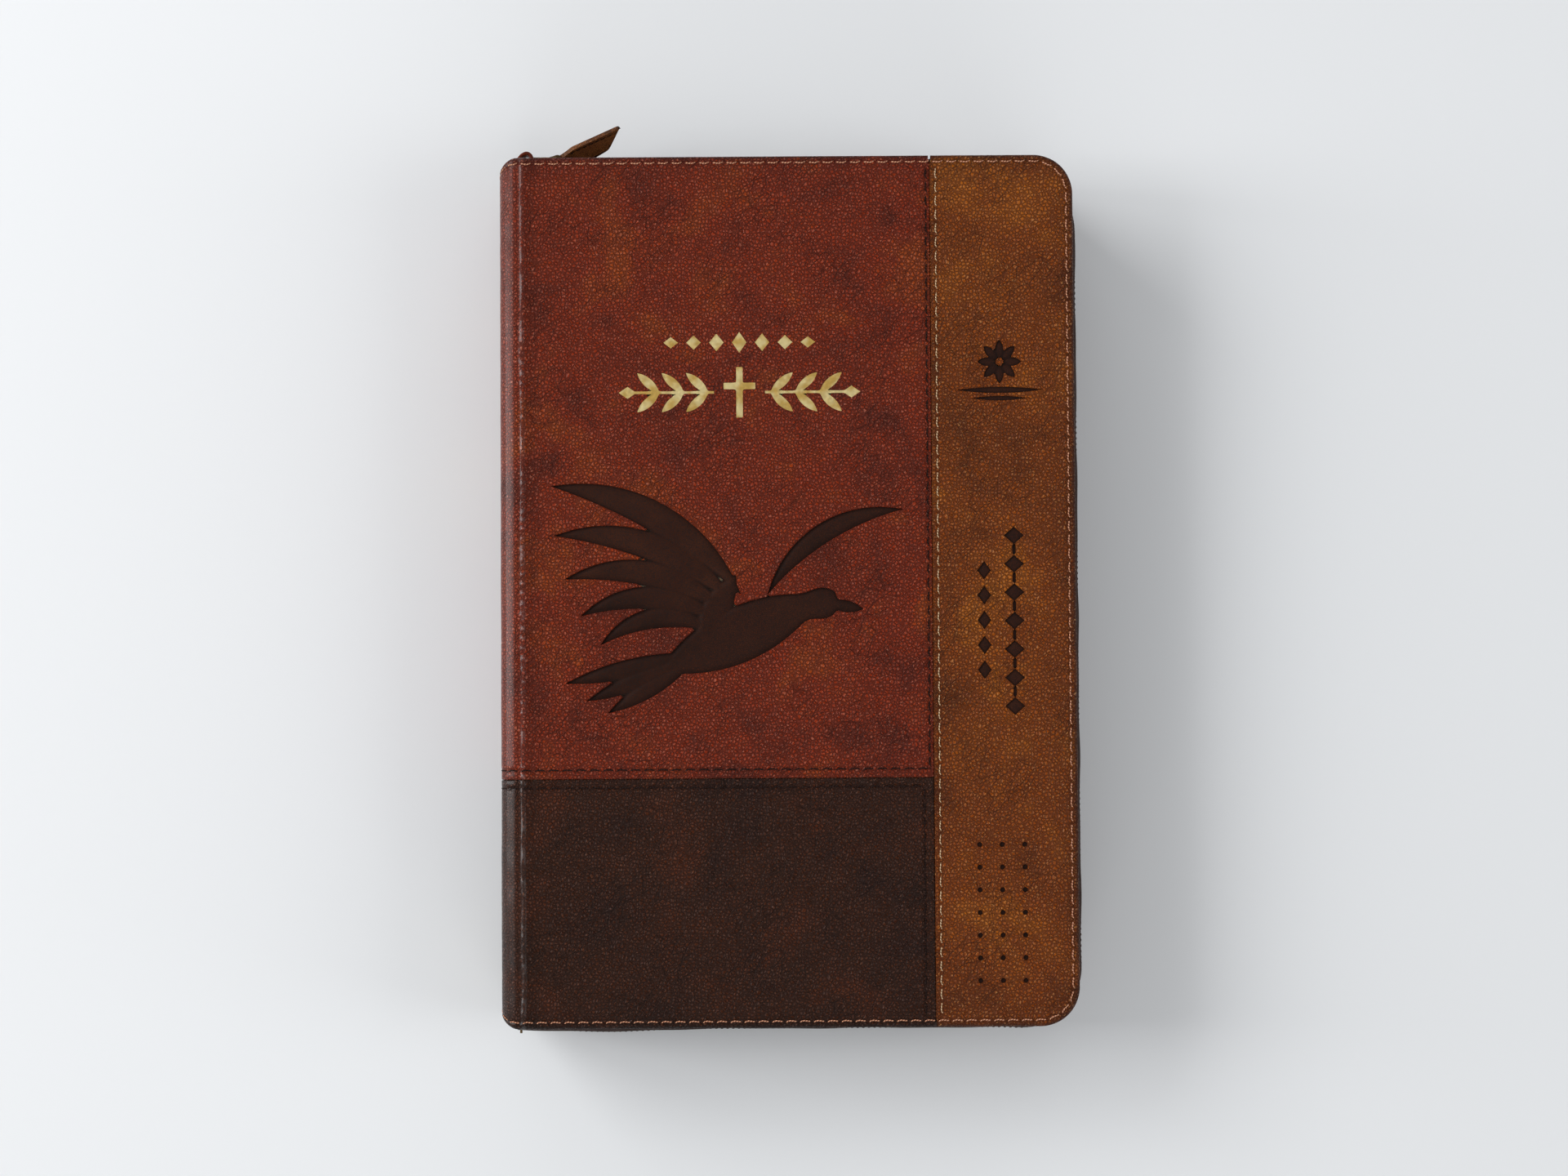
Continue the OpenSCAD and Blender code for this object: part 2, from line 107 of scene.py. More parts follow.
def ease(x, low, high):
    t = np.clip((x - low) / (high - low), 0, 1)
    return t * t * (3 - 2 * t)


def bump_at(x, centre, width):
    return np.exp(-(((x - centre) / width) ** 2))


def uneven(u, v, size, seed):
    """Gentle waviness from -1 to 1 with bumps about size mm across."""
    rng = np.random.default_rng(seed)
    total = np.zeros_like(u, dtype=float)
    for angle, stretch, phase in zip(
        rng.uniform(0, math.pi, 7), rng.uniform(0.7, 1.5, 7), rng.uniform(0, 6.28, 7)
    ):
        along = u * math.cos(angle) + v * math.sin(angle)
        total += np.sin(along * math.pi / (size * stretch) + phase)
    return total / 5


def grid_lines(start, end, step, close=(), fine=0.35):
    """Positions from start to end, closer together inside the spans in close."""
    inner = [m for span in close for m in span if start < m < end]
    marks = sorted({start, end, *inner})
    out = []
    for a, b in zip(marks, marks[1:]):
        near = any(low <= (a + b) / 2 <= high for low, high in close)
        n = max(1, math.ceil((b - a) / (fine if near else step)))
        out += [a + (b - a) * k / n for k in range(n)]
    return np.array(out + [end])


def piece(name, points, faces, material, body, slot, replaces=(), crease=38):
    """A mesh piece from points in mm; it rides on a body unless body is None."""
    mesh = bpy.data.meshes.new(name)
    mesh.from_pydata((np.asarray(points, dtype=float) * MM).tolist(), [], faces)
    mesh.shade_smooth()
    mesh.set_sharp_from_angle(angle=math.radians(crease))
    mesh.materials.append(material)
    made = bpy.data.objects.new(name, mesh)
    bpy.context.scene.collection.objects.link(made)
    if body:
        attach(made, body)
    if replaces:
        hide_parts(*replaces)
    return made


def write_attribute(obj, name, values):
    """Stores one vector per vertex for the materials to read."""
    layer = obj.data.attributes.new(name, "FLOAT_VECTOR", "POINT")
    layer.data.foreach_set("vector", np.asarray(values, dtype=np.float32).ravel())


# ---------------------------------------------------------------- material tools


def add(tree, kind, inputs=None, **settings):
    """One shader node, with its settings and its inputs linked or set."""
    made = tree.nodes.new(kind)
    for key, value in settings.items():
        setattr(made, key, value)
    for key, value in (inputs or {}).items():
        socket = made.inputs[key]
        if isinstance(value, bpy.types.NodeSocket):
            tree.links.new(value, socket)
        else:
            socket.default_value = value
    return made


def math_node(tree, operation, a, b=0.0, clamp=False):
    return add(tree, "ShaderNodeMath", {0: a, 1: b}, operation=operation, use_clamp=clamp).outputs[0]


def blend_colour(tree, factor, a, b, kind="MIX"):
    mixed = add(tree, "ShaderNodeMix", {0: factor, 6: a, 7: b}, data_type="RGBA", blend_type=kind)
    return mixed.outputs[2]


def spread(tree, value, low, high, to_low=0.0, to_high=1.0):
    sockets = {"Value": value, 1: low, 2: high, 3: to_low, 4: to_high}
    return add(tree, "ShaderNodeMapRange", sockets, interpolation_type="SMOOTHSTEP").outputs[0]


def new_group(name, takes, gives):
    """An empty node group; takes and gives are (name, kind, default) and (name, kind)."""
    group = bpy.data.node_groups.new(name, "ShaderNodeTree")
    for label, kind, default in takes:
        socket = group.interface.new_socket(label, in_out="INPUT", socket_type="NodeSocket" + kind)
        if default is not None:
            socket.default_value = default
    for label, kind in gives:
        group.interface.new_socket(label, in_out="OUTPUT", socket_type="NodeSocket" + kind)
    return group, group.nodes.new("NodeGroupInput").outputs, group.nodes.new("NodeGroupOutput").inputs


def make_pebble_grain():
    """Leather grain: pebbles parted by fine creases, a few long creases, short slanting streaks for painted
    glints, and a valley mask for painted shade.
    """
    group, given, out = new_group(
        "pebble_grain",
        [("Lie", "Vector", None), ("Pebbles", "Float", 1.1), ("Creasing", "Float", 0.5)],
        [("Height", "Float"), ("Valley Shade", "Float"), ("Glint", "Float")],
    )
    wander = add(group, "ShaderNodeTexNoise", {"Vector": given["Lie"], "Scale": 0.55, "Detail": 2.0})
    shift = add(
        group, "ShaderNodeVectorMath", {0: wander.outputs["Color"], "Scale": 0.9}, operation="SCALE"
    )
    bent = add(
        group, "ShaderNodeVectorMath", {0: given["Lie"], 1: shift.outputs[0]}, operation="ADD"
    ).outputs[0]
    cell = {"Vector": bent, "Scale": given["Pebbles"], "Randomness": 0.9}
    gap = add(group, "ShaderNodeTexVoronoi", cell, feature="DISTANCE_TO_EDGE").outputs["Distance"]
    pebble = spread(group, gap, 0.0, 0.32)
    drawn = add(
        group,
        "ShaderNodeMapping",
        {"Vector": bent, "Rotation": (0, 0, 0.95), "Scale": (1.5, 0.62, 1.0)},
        vector_type="TEXTURE",
    ).outputs[0]
    fine = add(
        group, "ShaderNodeTexNoise", {"Vector": drawn, "Scale": 2.0, "Detail": 2.0, "Roughness": 0.6}
    )
    slanted = add(
        group,
        "ShaderNodeMapping",
        {"Vector": bent, "Rotation": (0, 0, 0.85), "Scale": (3.0, 1.0, 1.0)},
        vector_type="TEXTURE",
    ).outputs[0]
    long_cell = {"Vector": slanted, "Scale": 0.42, "Randomness": 1.0}
    crack = add(group, "ShaderNodeTexVoronoi", long_cell, feature="DISTANCE_TO_EDGE").outputs["Distance"]
    crease = spread(group, crack, 0.0, 0.045)
    patch = add(group, "ShaderNodeTexNoise", {"Vector": given["Lie"], "Scale": 0.07, "Detail": 1.0})
    strength = math_node(group, "MULTIPLY", spread(group, patch.outputs[0], 0.42, 0.62), given["Creasing"])
    open_crease = math_node(group, "SUBTRACT", 1.0, crease)
    cut = math_node(group, "MULTIPLY", open_crease, strength)
    height = math_node(
        group,
        "ADD",
        math_node(group, "MULTIPLY", pebble, 0.7),
        math_node(group, "MULTIPLY", fine.outputs[0], 0.45),
    )
    height = math_node(group, "SUBTRACT", height, cut)
    # Painted shade mask: high in the gaps between pebbles and down the creases.
    valley_shade = math_node(group, "ADD", math_node(group, "SUBTRACT", 1.0, pebble), cut, clamp=True)
    group.links.new(height, out["Height"])
    group.links.new(valley_shade, out["Valley Shade"])
    # Painted glints: short slanting streaks on the pebble tops, mixed in later as a lighter colour.
    glint_streak = spread(group, fine.outputs[0], 0.55, 0.64)
    group.links.new(math_node(group, "MULTIPLY", glint_streak, pebble), out["Glint"])
    return group


def make_mottling():
    """Hand-rubbed colour: cloudy patches between a dark, a middle and a light tone."""
    group, given, out = new_group(
        "mottling",
        [
            ("Lie", "Vector", None),
            ("Dark", "Color", (0, 0, 0, 1)),
            ("Middle", "Color", (0, 0, 0, 1)),
            ("Light", "Color", (0, 0, 0, 1)),
            ("Patches", "Float", 0.04),
        ],
        [("Color", "Color"), ("Tone", "Float")],
    )
    cloud = add(
        group,
        "ShaderNodeTexNoise",
        {
            "Vector": given["Lie"],
            "Scale": given["Patches"],
            "Detail": 3.5,
            "Roughness": 0.55,
            "Distortion": 0.6,
        },
    ).outputs[0]
    second = math_node(group, "MULTIPLY", given["Patches"], 3.1)
    speckle = add(
        group, "ShaderNodeTexNoise", {
            "Vector": given["Lie"], "Scale": second, "Detail": 4.0, "Roughness": 0.6
        }
    ).outputs[0]
    mixed = math_node(
        group, "ADD", math_node(group, "MULTIPLY", cloud, 0.68), math_node(group, "MULTIPLY", speckle, 0.32)
    )
    low = blend_colour(group, spread(group, mixed, 0.36, 0.50), given["Dark"], given["Middle"])
    colour = blend_colour(group, spread(group, mixed, 0.50, 0.66), low, given["Light"])
    group.links.new(colour, out["Color"])
    group.links.new(mixed, out["Tone"])
    return group


def make_burnish_and_shade():
    """Where edges are worn dark and where shade is painted in valleys and folds: the piece's own mask, made
    uneven.
    """
    group, given, out = new_group(
        "burnish_and_shade", [
            ("Lie", "Vector", None), ("Edge", "Float", 0.0), ("Amount", "Float", 0.6)
        ], [("Mask", "Float")]
    )
    patch = add(
        group, "ShaderNodeTexNoise", {"Vector": given["Lie"], "Scale": 0.12, "Detail": 3.0}
    ).outputs[0]
    uneven_edge = math_node(group, "MULTIPLY", given["Edge"], spread(group, patch, 0.25, 0.6, 0.55, 1.15))
    group.links.new(math_node(group, "MULTIPLY", uneven_edge, given["Amount"], clamp=True), out["Mask"])
    return group


def make_weave():
    """Plain weave from crossing threads along the first two coordinates."""
    group, given, out = new_group(
        "weave",
        [("Lie", "Vector", None), ("Warp", "Float", 3.0), ("Weft", "Float", 3.0)],
        [("Height", "Float"), ("Gap", "Float")],
    )
    parts = add(group, "ShaderNodeSeparateXYZ", {0: given["Lie"]}).outputs
    warp = math_node(
        group,
        "SINE",
        math_node(group, "MULTIPLY", parts[0], math_node(group, "MULTIPLY", given["Warp"], math.pi)),
    )
    weft = math_node(
        group,
        "SINE",
        math_node(group, "MULTIPLY", parts[1], math_node(group, "MULTIPLY", given["Weft"], math.pi)),
    )
    cross = math_node(group, "MULTIPLY", warp, weft)
    fuzz = add(
        group, "ShaderNodeTexNoise", {"Vector": given["Lie"], "Scale": 6.0, "Detail": 2.0}
    ).outputs[0]
    height = math_node(
        group, "ADD", math_node(group, "MULTIPLY", cross, 0.4), math_node(group, "MULTIPLY", fuzz, 0.5)
    )
    gap = spread(group, math_node(group, "ABSOLUTE", cross), 0.0, 0.35, 1.0, 0.0)
    group.links.new(height, out["Height"])
    group.links.new(gap, out["Gap"])
    return group


PEBBLE_GRAIN = make_pebble_grain()
MOTTLING = make_mottling()
BURNISH_AND_SHADE = make_burnish_and_shade()
WEAVE = make_weave()


def start_material(name):
    material = bpy.data.materials.new(name)
    material.use_nodes = True
    tree = material.node_tree
    surface = tree.nodes["Principled BSDF"]
    return material, tree, surface


def lie_of(tree, own=True):
    """The flat lie of a skin, or else the object's own coordinates, in mm."""
    if own:
        return add(tree, "ShaderNodeAttribute", attribute_name="lie").outputs["Vector"]
    place = add(tree, "ShaderNodeTexCoord").outputs["Object"]
    return add(tree, "ShaderNodeVectorMath", {0: place, "Scale": 1 / MM}, operation="SCALE").outputs[0]


def set_normal(tree, surface, height, distance, strength=1.0):
    bump = add(tree, "ShaderNodeBump", {"Height": height, "Distance": distance * MM, "Strength": strength})
    tree.links.new(bump.outputs[0], surface.inputs["Normal"])


def leather(name, dark, middle, light, edge_and_shade_tone, rough=0.4, pebbles=1.15, relief=0.42, creasing=0.8,
            burnish_and_shade=0.7, patches=0.04, own=True, polish=0.6, glint_tone=None):
    """Grained leather with mottled colour and burnished edges, painted shade in the grain's valleys and the
    skin's folds, and painted glints on the grain.
    """
    material, tree, surface = start_material(name)
    lie = lie_of(tree, own)
    grain = add(tree, "ShaderNodeGroup", node_tree=PEBBLE_GRAIN)
    tree.links.new(lie, grain.inputs["Lie"])
    grain.inputs["Pebbles"].default_value = pebbles
    grain.inputs["Creasing"].default_value = creasing
    tone = add(tree, "ShaderNodeGroup", node_tree=MOTTLING)
    tree.links.new(lie, tone.inputs["Lie"])
    for label, code in (("Dark", dark), ("Middle", middle), ("Light", light)):
        tone.inputs[label].default_value = srgb(code)
    tone.inputs["Patches"].default_value = patches
    colour = tone.outputs["Color"]
    if own:
        # The attribute read here holds edge wear together with painted shade (x), and shine for the coat
        # and the painted glints (y).
        mask = add(tree, "ShaderNodeAttribute", attribute_name="wear_and_painted_light").outputs["Vector"]
        parts = add(tree, "ShaderNodeSeparateXYZ", {0: mask}).outputs
        wear_and_shade_mask = add(
            tree, "ShaderNodeGroup", {"Lie": lie, "Edge": parts[0], "Amount": burnish_and_shade}, node_tree=BURNISH_AND_SHADE
        )
        # Darkens the worn edges and the painted shade of valleys and folds toward the edge tone.
        colour = blend_colour(tree, wear_and_shade_mask.outputs["Mask"], colour, srgb(edge_and_shade_tone))
    # Painted shade: the grain's valleys and creases are darkened toward the dark edge tone.
    valley_shade = math_node(tree, "MULTIPLY", grain.outputs["Valley Shade"], 0.72)
    colour = blend_colour(tree, valley_shade, colour, srgb(edge_and_shade_tone))
    # Painted glints: the streaks are mixed in as a lighter colour, more where the shine attribute is high.
    share = 0.5
    if own:
        share = math_node(tree, "ADD", math_node(tree, "MULTIPLY", parts[1], 0.45), 0.5, clamp=True)
    glint = math_node(tree, "MULTIPLY", grain.outputs["Glint"], share)
    colour = blend_colour(tree, glint, colour, srgb(glint_tone or light))
    tree.links.new(colour, surface.inputs["Base Color"])
    tree.links.new(
        spread(
            tree, grain.outputs["Height"], 0.2, 0.95, rough + 0.2, rough - 0.14
        ), surface.inputs["Roughness"]
    )
    surface.inputs["Specular IOR Level"].default_value = 0.14
    if own:
        tree.links.new(math_node(tree, "MULTIPLY", parts[1], polish), surface.inputs["Coat Weight"])
    surface.inputs["Coat Roughness"].default_value = 0.2
    set_normal(tree, surface, grain.outputs["Height"], relief)
    return material


def thread(name, core, shade):
    """Waxed thread with a fine twist."""
    material, tree, surface = start_material(name)
    lie = lie_of(tree)
    parts = add(tree, "ShaderNodeSeparateXYZ", {0: lie}).outputs
    turn = math_node(
        tree, "ADD", math_node(tree, "MULTIPLY", parts[0], 9.0), math_node(tree, "MULTIPLY", parts[1], 1.0)
    )
    ply = math_node(tree, "SINE", turn)
    fuzz = add(tree, "ShaderNodeTexNoise", {"Vector": lie, "Scale": 3.0, "Detail": 2.0}).outputs[0]
    low = spread(tree, math_node(tree, "ADD", ply, fuzz), -0.6, 0.9)
    tree.links.new(blend_colour(tree, low, srgb(shade), srgb(core)), surface.inputs["Base Color"])
    tree.links.new(spread(tree, fuzz, 0.3, 0.7, 0.55, 0.75), surface.inputs["Roughness"])
    surface.inputs["Specular IOR Level"].default_value = 0.12
    set_normal(tree, surface, ply, 0.04)
    return material


def cloth(name, core, shade, warp, weft, rough=0.75, own=True):
    material, tree, surface = start_material(name)
    lie = lie_of(tree, own)
    weave = add(tree, "ShaderNodeGroup", {"Lie": lie, "Warp": warp, "Weft": weft}, node_tree=WEAVE)
    dust = add(tree, "ShaderNodeTexNoise", {"Vector": lie, "Scale": 0.4, "Detail": 3.0}).outputs[0]
    colour = blend_colour(tree, weave.outputs["Gap"], srgb(core), srgb(shade))
    colour = blend_colour(tree, spread(tree, dust, 0.4, 0.75, 0.0, 0.35), colour, srgb(shade))
    tree.links.new(colour, surface.inputs["Base Color"])
    tree.links.new(spread(tree, dust, 0.3, 0.7, rough - 0.08, rough + 0.08), surface.inputs["Roughness"])
    surface.inputs["Specular IOR Level"].default_value = 0.14
    set_normal(tree, surface, weave.outputs["Height"], 0.12)
    return material


def metal(name, tone, worn, rough=0.3):
    """Antique metal, paler where it is rubbed."""
    material, tree, surface = start_material(name)
    lie = lie_of(tree, own=False)
    stain = add(
        tree, "ShaderNodeTexNoise", {"Vector": lie, "Scale": 0.5, "Detail": 4.0, "Roughness": 0.65}
    ).outputs[0]
    fine = add(tree, "ShaderNodeTexNoise", {"Vector": lie, "Scale": 5.0, "Detail": 3.0}).outputs[0]
    tree.links.new(
        blend_colour(tree, spread(tree, stain, 0.38, 0.66), srgb(tone), srgb(worn)),
        surface.inputs["Base Color"],
    )
    tree.links.new(spread(tree, fine, 0.3, 0.7, rough - 0.08, rough + 0.12), surface.inputs["Roughness"])
    surface.inputs["Metallic"].default_value = 1.0
    set_normal(tree, surface, fine, 0.02)
    return material


def gold_foil(name, own=True):
    material, tree, surface = start_material(name)
    lie = lie_of(tree, own)
    wrinkle = add(tree, "ShaderNodeTexNoise", {"Vector": lie, "Scale": 1.4, "Detail": 4.0}).outputs[0]
    tone = add(tree, "ShaderNodeTexNoise", {"Vector": lie, "Scale": 0.25, "Detail": 2.0}).outputs[0]
    colour = blend_colour(tree, spread(tree, tone, 0.35, 0.65), srgb("d9b25e"), srgb("f7e2a2"))
    tree.links.new(colour, surface.inputs["Base Color"])
    tree.links.new(spread(tree, wrinkle, 0.3, 0.7, 0.28, 0.46), surface.inputs["Roughness"])
    surface.inputs["Metallic"].default_value = 0.75
    set_normal(tree, surface, wrinkle, 0.05)
    return material


def page_edges():
    """Gold-toned page edges with the fine lines of single leaves."""
    material, tree, surface = start_material("page_edges")
    lie = lie_of(tree, own=False)
    level = add(tree, "ShaderNodeSeparateXYZ", {0: lie}).outputs
    flat = add(tree, "ShaderNodeCombineXYZ", {0: math_node(tree, "MULTIPLY", level[0], 0.02),
                                              1: math_node(
                                                  tree, "MULTIPLY", level[1], 0.02
                                              ), 2: level[2]}).outputs[0]
    lines = add(
        tree, "ShaderNodeTexNoise", {"Vector": flat, "Scale": 9.0, "Detail": 3.0, "Roughness": 0.7}
    ).outputs[0]
    colour = blend_colour(tree, spread(tree, lines, 0.36, 0.62), srgb("a8843f"), srgb("e6cd8c"))
    tree.links.new(colour, surface.inputs["Base Color"])
    tree.links.new(spread(tree, lines, 0.3, 0.7, 0.5, 0.34), surface.inputs["Roughness"])
    surface.inputs["Metallic"].default_value = 0.35
    set_normal(tree, surface, lines, 0.06)
    return material


def page_paper():
    """Thin paper with two columns of pale blank ruling."""
    material, tree, surface = start_material("page_paper")
    lie = lie_of(tree, own=False)
    parts = add(tree, "ShaderNodeSeparateXYZ", {0: lie}).outputs
    across = math_node(
        tree,
        "ABSOLUTE",
        math_node(tree, "ADD", math_node(tree, "ABSOLUTE", math_node(tree, "ADD", parts[0], 2.0)), -29.0),
    )
    column = spread(tree, across, 26.0, 26.4, 1.0, 0.0)
    page = spread(tree, math_node(tree, "ABSOLUTE", parts[1]), 92.0, 92.5, 1.0, 0.0)
    row = math_node(tree, "SINE", math_node(tree, "MULTIPLY", parts[1], 2 * math.pi / 3.4))
    rule = math_node(
        tree, "MULTIPLY", spread(tree, row, 0.55, 0.8), math_node(tree, "MULTIPLY", column, page)
    )
    fibre = add(tree, "ShaderNodeTexNoise", {"Vector": lie, "Scale": 0.8, "Detail": 5.0}).outputs[0]
    base = blend_colour(tree, spread(tree, fibre, 0.35, 0.65), srgb("ece3cd"), srgb("f6f0e0"))
    ink = math_node(tree, "MULTIPLY", rule, 0.42)
    tree.links.new(blend_colour(tree, ink, base, srgb("8f8878")), surface.inputs["Base Color"])
    tree.links.new(spread(tree, fibre, 0.3, 0.7, 0.7, 0.85), surface.inputs["Roughness"])
    set_normal(tree, surface, fibre, 0.03)
    return material


def board_card():
    material, tree, surface = start_material("board_card")
    lie = lie_of(tree, own=False)
    fleck = add(
        tree, "ShaderNodeTexNoise", {"Vector": lie, "Scale": 1.2, "Detail": 4.0, "Roughness": 0.7}
    ).outputs[0]
    tree.links.new(
        blend_colour(tree, spread(tree, fleck, 0.4, 0.6), srgb("7d7059"), srgb("98896d")),
        surface.inputs["Base Color"],
    )
    tree.links.new(spread(tree, fleck, 0.3, 0.7, 0.75, 0.9), surface.inputs["Roughness"])
    set_normal(tree, surface, fleck, 0.05)
    return material


SIENNA = leather("sienna_leather", "66200c", "872b0c", "97400f", "380f04", glint_tone="b0705a")
DARK = leather("dark_leather", "2e1308", "3c1b09", "50230c", "180903", glint_tone="6b4534")
TAN = leather("tan_leather", "662d05", "883f08", "a65a12", "3f1a03", burnish_and_shade=0.85, patches=0.03,
              glint_tone="b88552")
PRESSED = leather("pressed_leather", "2b150c", "371b10", "422214", "120603",
                  rough=0.34, pebbles=2.4, relief=0.012, creasing=0.15, burnish_and_shade=0.8)
# Painted light: the base colour is raised well above the leather's own, so the near-upright strap, which
# gets little light, still looks lit.
PULL_LIT = leather(
    "pull_leather", "ab663c", "c47c46", "d68e54", "120904", pebbles=2.2, relief=0.03, burnish_and_shade=1.1
)
LINING = leather("lining_leather", "24150f", "2c1a13", "352017", "180d09",
                 rough=0.55, pebbles=2.6, relief=0.03, creasing=0.2, own=False)
COPPER_THREAD = thread("copper_thread", "c69273", "70392a")
DARK_THREAD = thread("dark_thread", "24130e", "0a0504")
CREAM_THREAD = thread("cream_thread", "d3b794", "7a5a3c")
# Painted light: a brighter copy of the sienna leather, so the small end tab looks as lit as the cover.
SIENNA_LIT_STRAP = leather("sienna_strap_lit", "8a3418", "a5482a", "b85c38", "3a150a", pebbles=2.0, relief=0.03)
# Painted shade: the dark discs in the needle holes.
HOLE_SHADE = leather("needle_hole_shade", "120906", "160b08", "1c0f0a", "0c0604", rough=0.7, own=False)
ZIP_TAPE = cloth("zip_tape", "30190f", "160a05", 1.9, 1.9)
ZIP_TEETH = metal("zip_teeth", "33231b", "5b463a", rough=0.32)
BAND = cloth("band_cloth", "8f3b2b", "e0cfa6", 1.1, 0.0, own=False)
GLUE = cloth("glued_gauze", "d9ceb4", "b3a684", 1.0, 1.0, own=False)
ANTIQUE = metal("antique_metal", "5a4632", "a98d63")
GOLD = gold_foil("gold_foil")
GOLD_BARE = gold_foil("spine_gold_foil", own=False)
PAGE_EDGES = page_edges()
PAGE_PAPER = page_paper()
BOARD = board_card()


# ---------------------------------------------------------------- the lie of the skins


def head_drop(u):
    """How far the leather is drawn in at the ends of the spine."""
    return 3.4 * (1 - ease(u, HINGE_X - SHOULDER_ARC - 2.6, HINGE_X - 0.9))


def on_front(u, v, h):
    """From the flat skin (across, along, above) to the closed book's front half."""
    a = np.clip((HINGE_X - u) / SHOULDER_R, 0, math.pi / 2)
    down = np.maximum(HINGE_X - SHOULDER_ARC - u, 0)
    r = SHOULDER_R + h
    x = np.where(u > HINGE_X, u, HINGE_X - r * np.sin(a))
    z = TOP_Z - SHOULDER_R + r * np.cos(a) - down
    y = v - head_drop(u) * np.sign(v) * np.clip((np.abs(v) - 70) / (HEAD_Y - 70), 0, 1) ** 2
    return np.stack([x, y, z], axis=-1)


def on_back(u, v, h):
    """The same for the back half, which lies flat on the table."""
    place = on_front(u, v, np.minimum(h, 0))
    place[..., 2] = TOP_Z - place[..., 2]
    return place


# ---------------------------------------------------------------- pressed ornaments, as signed fields


def disc(u, v, cu, cv, r):
    return np.hypot(u - cu, v - cv) - r


def turned(u, v, cu, cv, degrees, flip=1):
    a = math.radians(degrees)
    du, dv = u - cu, v - cv
    return du * math.cos(a) + dv * math.sin(a), flip * (-du * math.sin(a) + dv * math.cos(a))


def leaf_field(u, v, length, width):
    r = (length**2 + width**2) / (4 * width)
    return np.maximum(disc(u, v, length / 2, r - width / 2, r), disc(u, v, length / 2, width / 2 - r, r))


def feather_field(u, v, length, bow, sag):
    outer = (length**2 / 4 + bow**2) / (2 * bow)
    inner = (length**2 / 4 + sag**2) / (2 * sag)
    return np.maximum(
        disc(u, v, length / 2, bow - outer, outer), -disc(u, v, length / 2, sag - inner, inner)
    )


def lozenge_field(u, v, width, height):
    return (np.abs(u) * 2 / width + np.abs(v) * 2 / height - 1) / math.hypot(2 / width, 2 / height)


def bar_field(u, v, cu, cv, width, height):
    return np.maximum(np.abs(u - cu) - width / 2, np.abs(v - cv) - height / 2)


def join(fields):
    return np.minimum.reduce(list(fields))


def melted(a, b, reach):
    """Two shapes run together with a hollow curve between them."""
    share = np.clip(0.5 + 0.5 * (b - a) / reach, 0, 1)
    return b + (a - b) * share - reach * share * (1 - share)


def bird_field(u, v):
    """A plain flying bird: near wing, far wing, tail, body, head and beak."""
    parts = []
    for i in range(5):
        a, b = turned(u, v, -12 - 1.6 * i, -1 - 2.4 * i, 150 + 9 * i, flip=-1)
        parts.append(feather_field(a, b, 55 - 6.5 * i, 10 - 0.6 * i, 2.6))
    parts.append(feather_field(*turned(u, v, -5, -1, 32), 40, 8, 3))
    for i in range(3):
        parts.append(leaf_field(*turned(u, v, -24, -16 - i, 193 + 9 * i), 33 - 4 * i, 4.6))
    parts.append(leaf_field(*turned(u, v, -23, -12, 58), 18.5, 7.0))
    body = leaf_field(*turned(u, v, -33, -20.5, 24), 46, 14)
    parts.append(melted(body, disc(u, v, 9.0, -3.6, 3.7), 4.0))
    parts.append(leaf_field(*turned(u, v, 9.6, -3.4, -10), 9.6, 2.9))
    return join(parts)


def ornament_field(u, v):
    """A plain cross between two leafy sprays, with a row of lozenges above."""
    parts = [bar_field(u, v, -12, 50.2, 1.6, 12.8), bar_field(u, v, -12, 51.8, 8, 1.6)]
    for side in (1, -1):
        a, b = side * (u + 12), v - 50.2
        parts += [bar_field(a, b, 16.5, 0, 20, 0.6), lozenge_field(a - 28.4, b, 4.4, 3)]
        for i in range(3):
            for up in (42, -42):
                parts.append(leaf_field(*turned(a, b, 8 + 6.2 * i, 0, up), 7.4, 2.2))
    for i in range(-3, 4):
        parts.append(lozenge_field(u + 12 - 5.8 * i, v - 62.9, 3.6, 5.2 - 0.8 * abs(i)))
    return join(parts)


def emblem_field(u, v):
    """A rosette over two thin leaves."""
    parts = []
    for i in range(8):
        a, b = turned(u, v, 54, 57.6, 45 * i)
        parts.append(leaf_field(a - 0.9, b, 4.6, 2.1))
    parts.append(leaf_field(u - 43.4, v - 50.4, 21.2, 1.5))
    parts.append(leaf_field(u - 47.4, v - 48.3, 13.2, 1.1))
    return join(parts)


def marks_field(u, v):
    """Lozenges between short bars, in two lines down the strip."""
    parts = []
    for i in range(-3, 4):
        a, b = u - 57.3, v + 8.2 - 7.2 * i
        parts.append(lozenge_field(a, b, 5, 4.4))
        if i < 3:
            parts.append(bar_field(a, b, 0, 3.6, 0.8, 2))
    for i in range(-2, 3):
        parts.append(lozenge_field(u - 49.7, v + 8 - 6.3 * i, 3.4, 4.6))
    return join(parts)


def dots_field(u, v):
    a = (u - 48 + 2.85) % 5.7 - 2.85
    b = (v + 98.9 + 2.85) % 5.7 - 2.85
    near = np.maximum(np.abs(u - 53.7) - 8, np.abs(v + 81.8) - 19.6)
    return np.maximum(np.hypot(a, b) - 0.62, near)


# ---------------------------------------------------------------- building skins


